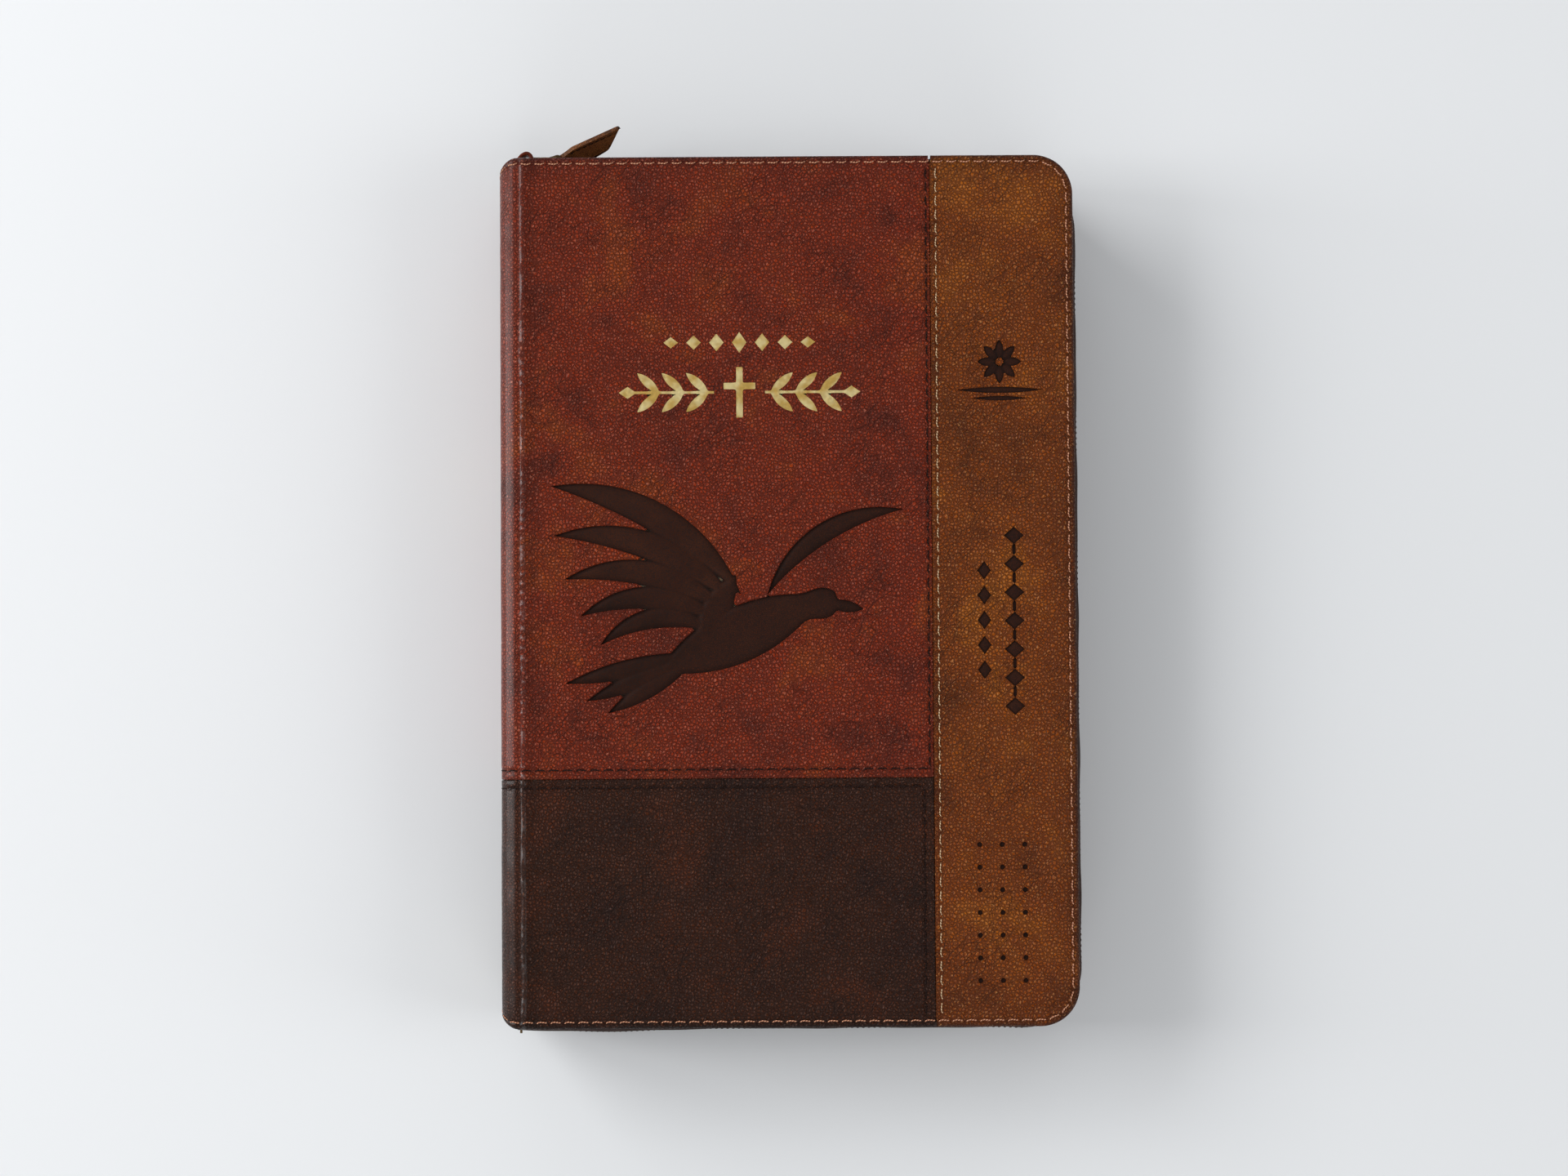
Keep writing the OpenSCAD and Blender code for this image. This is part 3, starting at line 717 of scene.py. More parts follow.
class Skin:
    """A grid sheet in flat coordinates that can be cut, skirted and laid on the book."""

    def __init__(self, us, vs, height, warp=None):
        u, v = np.meshgrid(us, vs)
        if warp:
            u, v = warp(u, v)
        self.columns = len(us)
        self.rows = len(vs)
        self.points = [list(p) for p in np.stack([u.ravel(), v.ravel(), height(u, v).ravel()], axis=1)]
        base = np.arange(self.rows - 1)[:, None] * self.columns + np.arange(self.columns - 1)[None, :]
        self.cells = np.stack(
            [base, base + 1, base + 1 + self.columns, base + self.columns], axis=-1
        ).reshape(-1, 4)
        self.faces = []

    def cut(self, field, rings):
        """Opens the sheet where field is negative, along its exact outline, and leads its rim down.

        rings holds (distance outside the outline, depth) pairs; depth may vary over the sheet."""
        flat = np.array(self.points)
        reach = rings[0][0]
        value = field(flat[:, 0], flat[:, 1]) - reach
        inside = value[self.cells] > 0
        self.faces += self.cells[inside.all(axis=1)].tolist()
        mixed = self.cells[inside.any(axis=1) & ~inside.all(axis=1)]
        made, edges = {}, []
        for cell in mixed.tolist():
            ring = []
            for a, b in zip(cell, cell[1:] + cell[:1]):
                if value[a] > 0:
                    ring.append(a)
                if (value[a] > 0) != (value[b] > 0):
                    key = (min(a, b), max(a, b))
                    if key not in made:
                        t = value[a] / (value[a] - value[b])
                        made[key] = len(self.points)
                        self.points.append(list(flat[a] + t * (flat[b] - flat[a])))
                    ring.append(made[key])
                    edges.append((made[key], value[a] > 0))
            self.faces.append(ring)
        pairs = [(edges[k][0], edges[k + 1][0]) if edges[k][1] else (edges[k + 1][0], edges[k][0])
                 for k in range(0, len(edges), 2)]
        rim = sorted(made.values())
        spot = np.array([self.points[k] for k in rim])
        step = 0.02
        du = field(spot[:, 0] + step, spot[:, 1]) - field(spot[:, 0] - step, spot[:, 1])
        dv = field(spot[:, 0], spot[:, 1] + step) - field(spot[:, 0], spot[:, 1] - step)
        size = np.maximum(np.hypot(du, dv), 1e-9)
        order = {k: n for n, k in enumerate(rim)}
        above = {k: k for k in rim}
        for away, depth in rings[1:]:
            below = {}
            for k in rim:
                n = order[k]
                sink = depth(spot[n, 0], spot[n, 1]) if callable(depth) else depth
                move = (away - reach) / size[n]
                below[k] = len(self.points)
                self.points.append(
                    [spot[n, 0] + du[n] * move, spot[n, 1] + dv[n] * move, spot[n, 2] - sink]
                )
            self.faces += [[above[a], below[a], below[b], above[b]] for a, b in pairs]
            above = below

    def keep_all(self):
        self.faces += self.cells.tolist()

    def side(self, name):
        """Vertex numbers along one side, in order."""
        last = (self.rows - 1) * self.columns
        return {
            "low": list(range(self.columns)),
            "high": list(range(last, last + self.columns)),
            "left": list(range(0, last + 1, self.columns)),
            "right": list(range(self.columns - 1, last + self.columns, self.columns)),
        }[name]

    def skirt(self, path, outward, profile, flip=False):
        """Carries the edge on along a profile of (outward, down) steps."""
        above = path
        for away, down in profile:
            below = []
            for k in path:
                u, v, h = self.points[k]
                n = outward(u, v)
                below.append(len(self.points))
                self.points.append([u + n[0] * away, v + n[1] * away, h - down])
            for a, b, c, d in zip(above, above[1:], below[1:], below):
                self.faces.append([a, b, c, d] if flip else [a, d, c, b])
            above = below

    def lay(self, name, place, material, slot, wear_and_painted_light, back=False, **extra):
        flat = np.array(self.points)
        spots = place(flat[:, 0], flat[:, 1], flat[:, 2])
        faces = [face[::-1] for face in self.faces] if back else self.faces
        made = piece(name, spots, faces, material, extra.pop("body", None), slot, **extra)
        write_attribute(made, "lie", flat)
        mask = wear_and_painted_light(flat[:, 0], flat[:, 1], flat[:, 2])
        # Shine on the spine ridge and shoulder: it raises the coat and strengthens the painted glints
        # there.
        shoulder = ease(
            flat[:, 0], HINGE_X - 0.6, HINGE_X - 2.2
        ) * ease(flat[:, 0], SPINE_MID_U, HINGE_X - 7.0)
        shine = np.maximum(bump_at(flat[:, 0], RIDGE_U - 0.3, 0.7), 0.5 * shoulder) * (0.0 if back else 1.0)
        write_attribute(made, "wear_and_painted_light", np.stack([mask, shine, mask * 0], axis=1))
        return made


def turned_edge(depth):
    """Profile of leather turned round the board: a rounded edge, a wall and the turn-in."""
    curve = [(EDGE_R * math.sin(t), EDGE_R * (1 - math.cos(t))) for t in (0.3, 0.6, 0.9, 1.2, 1.5)]
    return curve + [(EDGE_R, depth - 0.35), (EDGE_R - 0.1, depth - 0.08), (EDGE_R - 0.35, depth),
                    (EDGE_R - 1.2, depth - 0.02)]


SEAM_FOLD = [(0.1, 0.02), (0.2, 0.07), (0.27, 0.16), (0.3, 0.3), (0.3, 0.9)]


def away_from_book(u, v):
    """Outward direction of the cover's outline at a point near its edge."""
    corner_u, corner_v = FORE_X - FORE_CORNER_R, HEAD_Y - FORE_CORNER_R
    du, dv = u - corner_u, abs(v) - corner_v
    if du <= 0:
        return 0.0, math.copysign(1.0, v)
    if dv <= 0:
        return 1.0, 0.0
    size = math.hypot(du, dv)
    return du / size, math.copysign(dv / size, v)


RIDGE_U = HINGE_X + 0.9


def thread_dip(u, v):
    """Leather drawn down along the lines of stitches."""
    edge = np.minimum(HEAD_Y - np.abs(v), np.where(u > 0, FORE_X - u, 99))
    lines = [bump_at(edge, EDGE_THREAD_IN, 0.5)]
    main = (u < STRIP_X) & (v > SEAM_Y)
    lower = (u < STRIP_X) & (v < SEAM_Y)
    lines.append(np.where(main, bump_at(u, MAIN_THREAD_X, 0.45), 0) * (v > MAIN_THREAD_Y))
    lines.append(np.where(main, bump_at(v, MAIN_THREAD_Y, 0.45), 0) * (u < MAIN_THREAD_X))
    lines.append(np.where(lower, bump_at(u, LOWER_THREAD_X, 0.45), 0) * (v < LOWER_THREAD_Y))
    lines.append(np.where(lower, bump_at(v, LOWER_THREAD_Y, 0.45), 0) * (u < LOWER_THREAD_X))
    lines.append(np.where(u > STRIP_X, bump_at(u, STRIP_THREAD_X, 0.45), 0))
    return np.maximum.reduce(lines)


def skin_height(u, v):
    """Relief of the front skin: spine ridge, hinge valley, soft padding and stitch lines."""
    ridge_u = RIDGE_U + 0.25 * uneven(u * 0, v, 9, 3)
    rough_ridge = 0.32 + 0.2 * uneven(u, v, 0.9, 5) + 0.08 * uneven(u, v, 4, 6)
    h = rough_ridge * bump_at(u, ridge_u, 0.5)
    h = h - 0.22 * bump_at(u, RIDGE_U + 2.2, 1.6)
    h = h + 0.07 * uneven(u, v, 16, 7) + 0.03 * uneven(u, v, 5, 8)
    return h - 0.16 * thread_dip(u, v)


def lipped_height(field, lift):
    """The skin's relief with a soft lip round each pressed shape."""

    def height(u, v):
        away = field(u, v)
        return skin_height(u, v) + lift * bump_at(away, 0.38, 0.3) * (away > 0)

    return height


def edge_wear_and_shade(u, v, h):
    """1 at a panel's outer edge, fading inward, and near the seams, for worn edges; also painted shade in
    the hinge valley and wherever the skin dips down into folds and pressings.
    """
    edge = np.minimum(HEAD_Y - np.abs(v), np.where(u > 0, FORE_X - u, 99))
    corner_u, corner_v = FORE_X - FORE_CORNER_R, HEAD_Y - FORE_CORNER_R
    round_edge = FORE_CORNER_R - np.hypot(np.maximum(u - corner_u, 0), np.maximum(np.abs(v) - corner_v, 0))
    edge = np.minimum(edge, round_edge)
    near = 0.45 * np.exp(-np.maximum(edge, 0) / 6.0) + 0.6 * np.exp(-np.maximum(edge, 0) / 1.2)
    seam = np.exp(-np.abs(v - SEAM_Y) / 1.5) * (u < STRIP_X) + np.exp(-np.abs(u - STRIP_X) / 1.0)
    # Painted shade in the hinge valley.
    valley_shade = 0.25 * bump_at(u, RIDGE_U + 2.4, 2.2)
    # Painted shade: darker the deeper the skin dips below its top.
    fold_shade = np.clip(-h / 1.2, 0, 1)
    return np.clip(near + 0.35 * seam + valley_shade + fold_shade, 0, 1.2)


BIRD_SPAN_U, BIRD_SPAN_V = (-62.5, 31.5), (-32, 29)
ORNAMENT_SPAN_V = (42.5, 66.5)
THREAD_BAND = 1.2


def near_line(at):
    return (at - THREAD_BAND, at + THREAD_BAND)


def main_skin(name, place, back):
    """The reddish upper panel, from mid spine over the shoulder to the strip."""
    top = HEAD_Y - EDGE_R
    close_u = [BIRD_SPAN_U, near_line(MAIN_THREAD_X), (HINGE_X - 0.4, HINGE_X + 2)]
    close_v = [BIRD_SPAN_V, ORNAMENT_SPAN_V, near_line(MAIN_THREAD_Y), near_line(HEAD_Y - EDGE_THREAD_IN)]
    if back:
        close_u, close_v = close_u[1:2], close_v[2:]
    us = grid_lines(SPINE_MID_U, STRIP_X - 0.33, 1.0, close_u, fine=0.42)
    vs = grid_lines(SEAM_Y + 0.33, top, 1.0, close_v, fine=0.4)
    relief = (lambda u, v: -0.1 * thread_dip(u, v)) if back else lipped_height(bird_field, 0.16)
    skin = Skin(us, vs, relief)
    if back:
        skin.keep_all()
    else:
        depth = lambda u, v: np.where(v > 36, 0.16, 0.72)
        skin.cut(lambda u, v: np.minimum(bird_field(u, v), ornament_field(u, v)),
                 [(0.2, 0), (0.15, 0.03), (0.1, lambda u, v: 0.2 * depth(u, v)),
                  (0.05, lambda u, v: 0.55 * depth(u, v)), (-0.02, depth)])
    skin.skirt(skin.side("high"), away_from_book, turned_edge(COVER_T), flip=True)
    skin.skirt(skin.side("low"), lambda u, v: (0, -1), SEAM_FOLD)
    skin.skirt(skin.side("right"), lambda u, v: (1, 0), SEAM_FOLD)
    return skin.lay(name, place, SIENNA, "leather_sienna", edge_wear_and_shade, back)


def lower_skin(name, place, back):
    """The dark lower panel, from mid spine to the strip."""
    low = -HEAD_Y + EDGE_R
    close_u = [near_line(LOWER_THREAD_X), (HINGE_X - 1.2, HINGE_X + 2)]
    close_v = [near_line(LOWER_THREAD_Y), near_line(-HEAD_Y + EDGE_THREAD_IN)]
    us = grid_lines(SPINE_MID_U, STRIP_X - 0.33, 0.7, close_u)
    vs = grid_lines(low, SEAM_Y - 0.33, 0.7, close_v)
    skin = Skin(us, vs, (lambda u, v: -0.1 * thread_dip(u, v)) if back else skin_height)
    skin.keep_all()
    skin.skirt(skin.side("low"), away_from_book, turned_edge(COVER_T))
    skin.skirt(skin.side("high"), lambda u, v: (0, 1), SEAM_FOLD, flip=True)
    skin.skirt(skin.side("right"), lambda u, v: (1, 0), SEAM_FOLD)
    return skin.lay(name, place, DARK, "leather_dark", edge_wear_and_shade, back)


def round_corners(u, v):
    """Draws the grid's outer corners in to the cover's round corners."""
    corner_u, corner_v = FORE_X - FORE_CORNER_R, HEAD_Y - FORE_CORNER_R
    r = FORE_CORNER_R - EDGE_R
    a = np.clip((u - corner_u) / r, 0, 1)
    b = np.clip((np.abs(v) - corner_v) / r, 0, 1)
    new_u = np.where(a > 0, corner_u + r * a * np.sqrt(1 - b * b / 2), u)
    new_v = np.where(b > 0, np.sign(v) * (corner_v + r * b * np.sqrt(1 - a * a / 2)), v)
    return new_u, new_v


def strip_skin(name, place, back):
    """The tan strip at the fore edge, with its pressed emblem, marks and dots."""
    close_u = [(41.5, 66), near_line(STRIP_THREAD_X), near_line(FORE_X - EDGE_THREAD_IN - 0.4)]
    close_v = [(46.5, 64.5), (-33.5, 17.5), (-100.5, -63.5), near_line(HEAD_Y - 2), near_line(-HEAD_Y + 2)]
    if back:
        close_u, close_v = close_u[1:], close_v[3:]
    us = grid_lines(STRIP_X + 0.33, FORE_X - EDGE_R, 0.7, close_u, fine=0.3)
    vs = grid_lines(-HEAD_Y + EDGE_R, HEAD_Y - EDGE_R, 0.7, close_v, fine=0.3)
    pressed = lambda u, v: join([emblem_field(u, v), marks_field(u, v), dots_field(u, v)])
    relief = (lambda u, v: -0.1 * thread_dip(u, v)) if back else lipped_height(pressed, 0.1)
    skin = Skin(us, vs, relief, round_corners)
    if back:
        skin.keep_all()
    else:
        skin.cut(pressed, [(0.14, 0), (0.08, 0.04), (0.03, 0.15), (-0.02, 0.5)])
    outer = skin.side("low") + skin.side("right")[1:] + skin.side("high")[::-1][1:]
    skin.skirt(outer, away_from_book, turned_edge(COVER_T))
    skin.skirt(skin.side("left"), lambda u, v: (-1, 0), SEAM_FOLD, flip=True)
    return skin.lay(name, place, TAN, "leather_tan", edge_wear_and_shade, back,
                    body="back_cover" if back else "front_cover")


def bend_front(made):
    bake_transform(made)


def bend_back(made):
    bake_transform(made)


front_main = main_skin("front_main_skin", on_front, back=False)
bend_front(front_main)
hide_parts("front_main_panel", "front_joint_upper", "spine_upper_panel")
front_lower = lower_skin("front_lower_skin", on_front, back=False)
bend_front(front_lower)
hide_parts("front_lower_panel", "front_joint_lower", "spine_lower_panel")
front_strip = strip_skin("front_strip_skin", on_front, back=False)
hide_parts("front_fore_strip")
back_main = main_skin("back_main_skin", on_back, back=True)
bend_back(back_main)
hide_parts("back_main_panel", "back_joint_upper")
back_lower = lower_skin("back_lower_skin", on_back, back=True)
bend_back(back_lower)
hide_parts("back_lower_panel", "back_joint_lower")
back_strip = strip_skin("back_strip_skin", on_back, back=True)
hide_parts("back_fore_strip")


# ---------------------------------------------------------------- pressed floors and foil


def inlay(name, field, span_u, span_v, fine, depth, material, slot, node):
    """Thin sheet that fills a pressed shape; its edge runs under the rim around it."""
    us = grid_lines(span_u[0], span_u[1], fine)
    vs = grid_lines(span_v[0], span_v[1], fine)
    crown = lambda u, v: 0.3 * depth * ease(-field(u, v), 0.1, 1.5)
    skin = Skin(us, vs, lambda u, v: skin_height(u, v) - depth + crown(u, v))
    skin.cut(lambda u, v: 0.1 - field(u, v), [(0.0, 0), (0.0, 0.08)])
    # Painted shade: the floor darkens towards the walls of the pressing.
    wear_and_painted_light = lambda u, v, h: np.clip(1 + field(u, v) / 0.5, 0, 1)
    made = skin.lay(name, on_front, material, slot, wear_and_painted_light, body="front_cover", replaces=(node,))
    return made


inlay(
    "bird_floor", bird_field, BIRD_SPAN_U, BIRD_SPAN_V, 0.35, 0.62, PRESSED, "leather_pressed", "bird_inlay"
)
inlay(
    "emblem_floor",
    emblem_field,
    (42, 66),
    (46.5, 64),
    0.22,
    0.34,
    PRESSED,
    "leather_pressed",
    "emblem_inlay",
)
inlay(
    "strip_mark_floors",
    marks_field,
    (46.5, 61),
    (-33.5, 17),
    0.25,
    0.34,
    PRESSED,
    "leather_pressed",
    "strip_inlay",
)
inlay(
    "cover_gold", ornament_field, (-43.5, 19.5), ORNAMENT_SPAN_V, 0.2, 0.11, GOLD, "gold_foil", "cover_foil"
)


def dot_floors():
    skin = Skin(
        grid_lines(45.5, 62, 0.2), grid_lines(-101, -62.5, 0.2), lambda u, v: skin_height(u, v) - 0.36
    )
    skin.cut(lambda u, v: 0.1 - dots_field(u, v), [(0.0, 0), (0.0, 0.05)])
    # The dot floors are darkened evenly.
    return skin.lay("strip_dot_floors", on_front, PRESSED, "leather_pressed", lambda u, v, h: u * 0 + 0.6,
                    body="front_cover")


dot_floors()


# ---------------------------------------------------------------- stitching


def along(points):
    """A route through points as a function of distance, with its length."""
    spots = np.array(points, dtype=float)
    steps = np.concatenate([[0], np.cumsum(np.hypot(*np.diff(spots, axis=0).T))])
    return (lambda s: (np.interp(s, steps, spots[:, 0]), np.interp(s, steps, spots[:, 1]))), steps[-1]


def edge_route(inset, start_u):
    """Round the cover a fixed distance in from its edge, from tail to head."""
    r = FORE_CORNER_R - inset
    corner_u, corner_v = FORE_X - FORE_CORNER_R, HEAD_Y - FORE_CORNER_R
    points = [(start_u, -HEAD_Y + inset)]
    for side in (-1, 1):
        turns = np.linspace(-math.pi / 2, 0, 13) if side < 0 else np.linspace(0, math.pi / 2, 13)
        points += [(corner_u + r * math.cos(t), side * corner_v + r * math.sin(t)) for t in turns]
    return points + [(start_u, HEAD_Y - inset)]


def stitches(name, routes, place, height, material, slot, pitch=STITCH_PITCH, back=False, slant=0.14,
             radius=0.17, body=None, replaces=(), share=0.86):
    """Single stitches along flat routes: each thread rises from one hole and dives into the next; a dark
    disc at each hole is painted shade.
    """
    points, faces, lie, hole_shades, hole_faces = [], [], [], [], []
    sides = 6
    for route in routes:
        at, length = along(route)
        count = max(1, round(length / pitch))
        gap = length / count
        for k in range(count):
            ends = np.linspace(0.5 - share / 2, 0.5 + share / 2, 8)
            s = (k + ends) * gap
            u, v = at(s)
            du, dv = np.gradient(np.array(u)), np.gradient(np.array(v))
            size = np.maximum(np.hypot(du, dv), 1e-9)
            across = np.stack([-dv / size, du / size], axis=1)
            lean = slant * np.array([-2.6, -0.9, 0.6, 0.9, 0.6, 0.2, -0.2, -0.6])
            u, v = u + across[:, 0] * lean, v + across[:, 1] * lean
            lift = np.array([-0.2, 0.02, 0.1, 0.14, 0.14, 0.1, 0.03, -0.18])
            h = height(u, v) + lift
            base = len(points)
            for n in range(8):
                thick = radius * (0.72 if n in (0, 7) else 1.0)
                for m in range(sides):
                    t = 2 * math.pi * m / sides
                    off = thick * math.cos(t)
                    points.append(
                        (
                            u[n] + across[n, 0] * off,
                            v[n] + across[n, 1] * off,
                            h[n] + thick * 0.8 * math.sin(t),
                        )
                    )
                    lie.append((s[n], t, k))
            for n in range(7):
                for m in range(sides):
                    a, b = base + n * sides + m, base + n * sides + (m + 1) % sides
                    faces.append([a, a + sides, b + sides, b])
            faces.append(list(range(base, base + sides)))
            faces.append(list(range(base + 7 * sides, base + 8 * sides))[::-1])
            # Painted shade: a small dark sunken disc at each end of the stitch stands for the shadow in its
            # hole.
            for n, push in ((0, -0.08), (7, 0.08)):
                centre = np.array([u[n] + du[n] / size[n] * push, v[n] + dv[n] / size[n] * push])
                first = len(hole_shades)
                for m in range(8):
                    t = 2 * math.pi * m / 8
                    pu, pv = centre[0] + 0.3 * math.cos(t), centre[1] + 0.3 * math.sin(t)
                    hole_shades.append((pu, pv, float(height(pu, pv)) + 0.015))
                hole_shades.append((centre[0], centre[1], float(height(centre[0], centre[1])) - 0.1))
                hole_faces += [[first + m, first + (m + 1) % 8, first + 8] for m in range(8)]
    flat = np.array(points)
    if back:
        faces = [face[::-1] for face in faces]
        hole_faces = [face[::-1] for face in hole_faces]
    made = piece(name, place(flat[:, 0], flat[:, 1], flat[:, 2]), faces, material, body, slot, replaces)
    write_attribute(made, "lie", lie)
    dark = np.array(hole_shades)
    hole_shade_discs = piece(
        name + "_hole_shades", place(dark[:, 0], dark[:, 1], dark[:, 2]), hole_faces, HOLE_SHADE, body, slot
    )
    return [made, hole_shade_discs]


def under_table(u, v, h):
    """Back stitches lie sunk in the leather, so none reaches below the cover."""
    return on_back(u, v, np.minimum(h, 0) - 0.02)


def plain(u, v):
    return u * 0.0


SPINE_END_U = SPINE_MID_U + 1.0
edge_front = stitches("front_edge_stitches", [
    edge_route(EDGE_THREAD_IN, SPINE_END_U)
], on_front, skin_height,
                      COPPER_THREAD, "thread_copper", replaces=("front_edge_thread", "spine_thread"))
main_front = stitches(
    "front_main_stitches",
    [[(SPINE_END_U, MAIN_THREAD_Y), (MAIN_THREAD_X, MAIN_THREAD_Y)],
     [(MAIN_THREAD_X, MAIN_THREAD_Y), (MAIN_THREAD_X, HEAD_Y - 3)]],
    on_front, skin_height, DARK_THREAD, "thread_dark", replaces=("front_seam_thread",))
lower_front = stitches(
    "front_lower_stitches",
    [[(SPINE_END_U, LOWER_THREAD_Y), (LOWER_THREAD_X, LOWER_THREAD_Y)],
     [(LOWER_THREAD_X, LOWER_THREAD_Y), (LOWER_THREAD_X, -HEAD_Y + 3)]],
    on_front, skin_height, DARK_THREAD, "thread_dark", replaces=("front_lower_thread",))
for made in edge_front + main_front + lower_front:
    bend_front(made)
stitches("front_strip_stitches", [[(STRIP_THREAD_X, -HEAD_Y + 3), (STRIP_THREAD_X, HEAD_Y - 3)]], on_front,
         skin_height, CREAM_THREAD, "thread_cream", radius=0.14, body="front_cover", replaces=(
             "front_strip_thread",
         ))

for made in stitches("back_edge_stitches", [edge_route(EDGE_THREAD_IN, SPINE_END_U)], under_table, plain,
                     COPPER_THREAD, "thread_copper", back=True, replaces=("back_edge_thread",)):
    bend_back(made)
for made in stitches(
    "back_seam_stitches",
    [[(SPINE_END_U, MAIN_THREAD_Y), (MAIN_THREAD_X, MAIN_THREAD_Y)],
     [(MAIN_THREAD_X, MAIN_THREAD_Y), (MAIN_THREAD_X, HEAD_Y - 3)],
     [(SPINE_END_U, LOWER_THREAD_Y), (LOWER_THREAD_X, LOWER_THREAD_Y)],
     [(LOWER_THREAD_X, LOWER_THREAD_Y), (LOWER_THREAD_X, -HEAD_Y + 3)]],
    under_table, plain, DARK_THREAD, "thread_dark", back=True, replaces=("back_seam_thread",)):
    bend_back(made)
stitches("back_strip_stitches", [
    [(STRIP_THREAD_X, -HEAD_Y + 3), (STRIP_THREAD_X, HEAD_Y - 3)]
], under_table, plain,
         CREAM_THREAD, "thread_cream", back=True, body="back_cover", replaces=("back_strip_thread",))


# ---------------------------------------------------------------- swept and turned pieces


def ring_faces(rows, ring, closed_ends=True, loop=True):
    """Quads between successive rings of points, with caps at both ends."""
    faces = []
    for n in range(rows - 1):
        for m in range(ring if loop else ring - 1):
            a, b = n * ring + m, n * ring + (m + 1) % ring
            faces.append([a, b, b + ring, a + ring])
    if closed_ends:
        faces.append(list(range(ring))[::-1])
        faces.append(list(range((rows - 1) * ring, rows * ring)))
    return faces


def zip_route(start_x, step=1.2):
    """The zip's line in plan, from the head's spine end round to the tail's, with its outward direction."""
    tape_low, tape_high = edges_of("back_zip_tape")
    head_y = edges_of("slider_body")[0][1] + 2.4
    fore_x, tail_y = tape_high[0], tape_low[1]
    r = ZIP_CORNER_R
    points, ways = [], []

    def straight(p, q, way):
        n = max(2, round(math.dist(p, q) / step))
        for k in range(n):
            points.append((p[0] + (q[0] - p[0]) * k / n, p[1] + (q[1] - p[1]) * k / n))
            ways.append(way)

    def corner(cx, cy, first, last):
        n = round(r * math.pi / 2 / step)
        for k in range(n):
            t = first + (last - first) * k / n
            points.append((cx + r * math.cos(t), cy + r * math.sin(t)))
            ways.append((math.cos(t), math.sin(t)))

    straight((start_x, head_y), (fore_x - r, head_y), (0, 1))
    corner(fore_x - r, head_y - r, math.pi / 2, 0)
    straight((fore_x, head_y - r), (fore_x, tail_y + r), (1, 0))
    corner(fore_x - r, tail_y + r, 0, -math.pi / 2)
    straight((fore_x - r, tail_y), (start_x, tail_y), (0, -1))
    points.append((start_x, tail_y))
    ways.append((0, -1))
    points, ways = np.array(points), np.array(ways)
    tail = points[:, 1] < tail_y + 3
    ease_in = ease(points[:, 0], fore_x - 1, fore_x - 24) * tail
    points[:, 1] += ease_in * (0.75 - 0.65 * bump_at(points[:, 0], start_x + 23, 13))
    return points, ways


ZIP_CORNER_R = 16.4
ZIP_START_X = edges_of("back_zip_tape")[0][0]
TEETH_START_X = edges_of("back_zip_teeth")[0][0]
TEETH_IN_TAPE = 0.4
FRONT_ZIP_CUT_X = edges_of("slider_body")[1][0] + 1.0
TOOTH_PITCH = 1.45


def cut_before(points, x):
    """Index of the first point on the head run that lies beyond x."""
    return int(np.argmax(points[:, 0] >= x))


def zip_tape(name, body, node, sign, first_x):
    """A woven tape: upright beside the teeth, then leaning in to the edge of its cover."""
    points, ways = zip_route(ZIP_START_X)
    first = cut_before(points, first_x)
    points, ways = points[first:], ways[first:]
    low, high = edges_of(node)
    inner, outer = (low[2], high[2]) if sign > 0 else (high[2], low[2])
    knee = inner + sign * 5.0
    lean = 2.4
    heights = [inner, inner + sign * 0.25, inner + sign * 1.4, inner + sign * 3.2, knee, knee + sign * 1.2]
    heights += list(np.linspace(knee + sign * 2.8, outer, 6))
    outline = []
    for z in heights:
        t = max(0.0, (z - knee) / (outer - knee))
        outline.append((-lean * ease(t, -0.05, 1.05) , z))
    ring = [(out + 0.38, z) for out, z in outline] + [(out - 0.38, z) for out, z in outline[::-1]]
    placed, lie = [], []
    run = 0.0
    for n, (spot, way) in enumerate(zip(points, ways)):
        run += math.dist(spot, points[n - 1]) if n else 0
        ripple = 0.1 * math.sin(run / 5.3) + 0.07 * math.sin(run / 2.9 + 1)
        for out, z in ring:
            free = ease(abs(z - outer), 0, 4) * ease(abs(z - inner), 0, 3)
            reach = out - TEETH_IN_TAPE + ripple * free
            placed.append((spot[0] + way[0] * reach, spot[1] + way[1] * reach, z))
            lie.append((run, z, out))
    faces = ring_faces(len(points), len(ring))
    if sign < 0:
        faces = [face[::-1] for face in faces]
    made = piece(name, placed, faces, ZIP_TAPE, body, "zip_tape", (node,), crease=50)
    write_attribute(made, "lie", lie)
    return made


def tooth_shape():
    """One moulded tooth: a rounded block, narrower at its tip. Long side across the tape."""
    half_l, half_w = 0.8, 0.46
    rows = []
    for k, (z, shrink) in enumerate(((0.0, 0.8), (0.18, 1.0), (0.95, 0.98), (1.3, 0.82), (1.48, 0.55))):
        for m in range(12):
            t = 2 * math.pi * m / 12
            c, s_ = math.cos(t), math.sin(t)
            rows.append((half_w * shrink * math.copysign(abs(c) ** 0.6, c),
                         half_l * (0.6 + 0.4 * shrink) * math.copysign(abs(s_) ** 0.6, s_), z))
    return rows


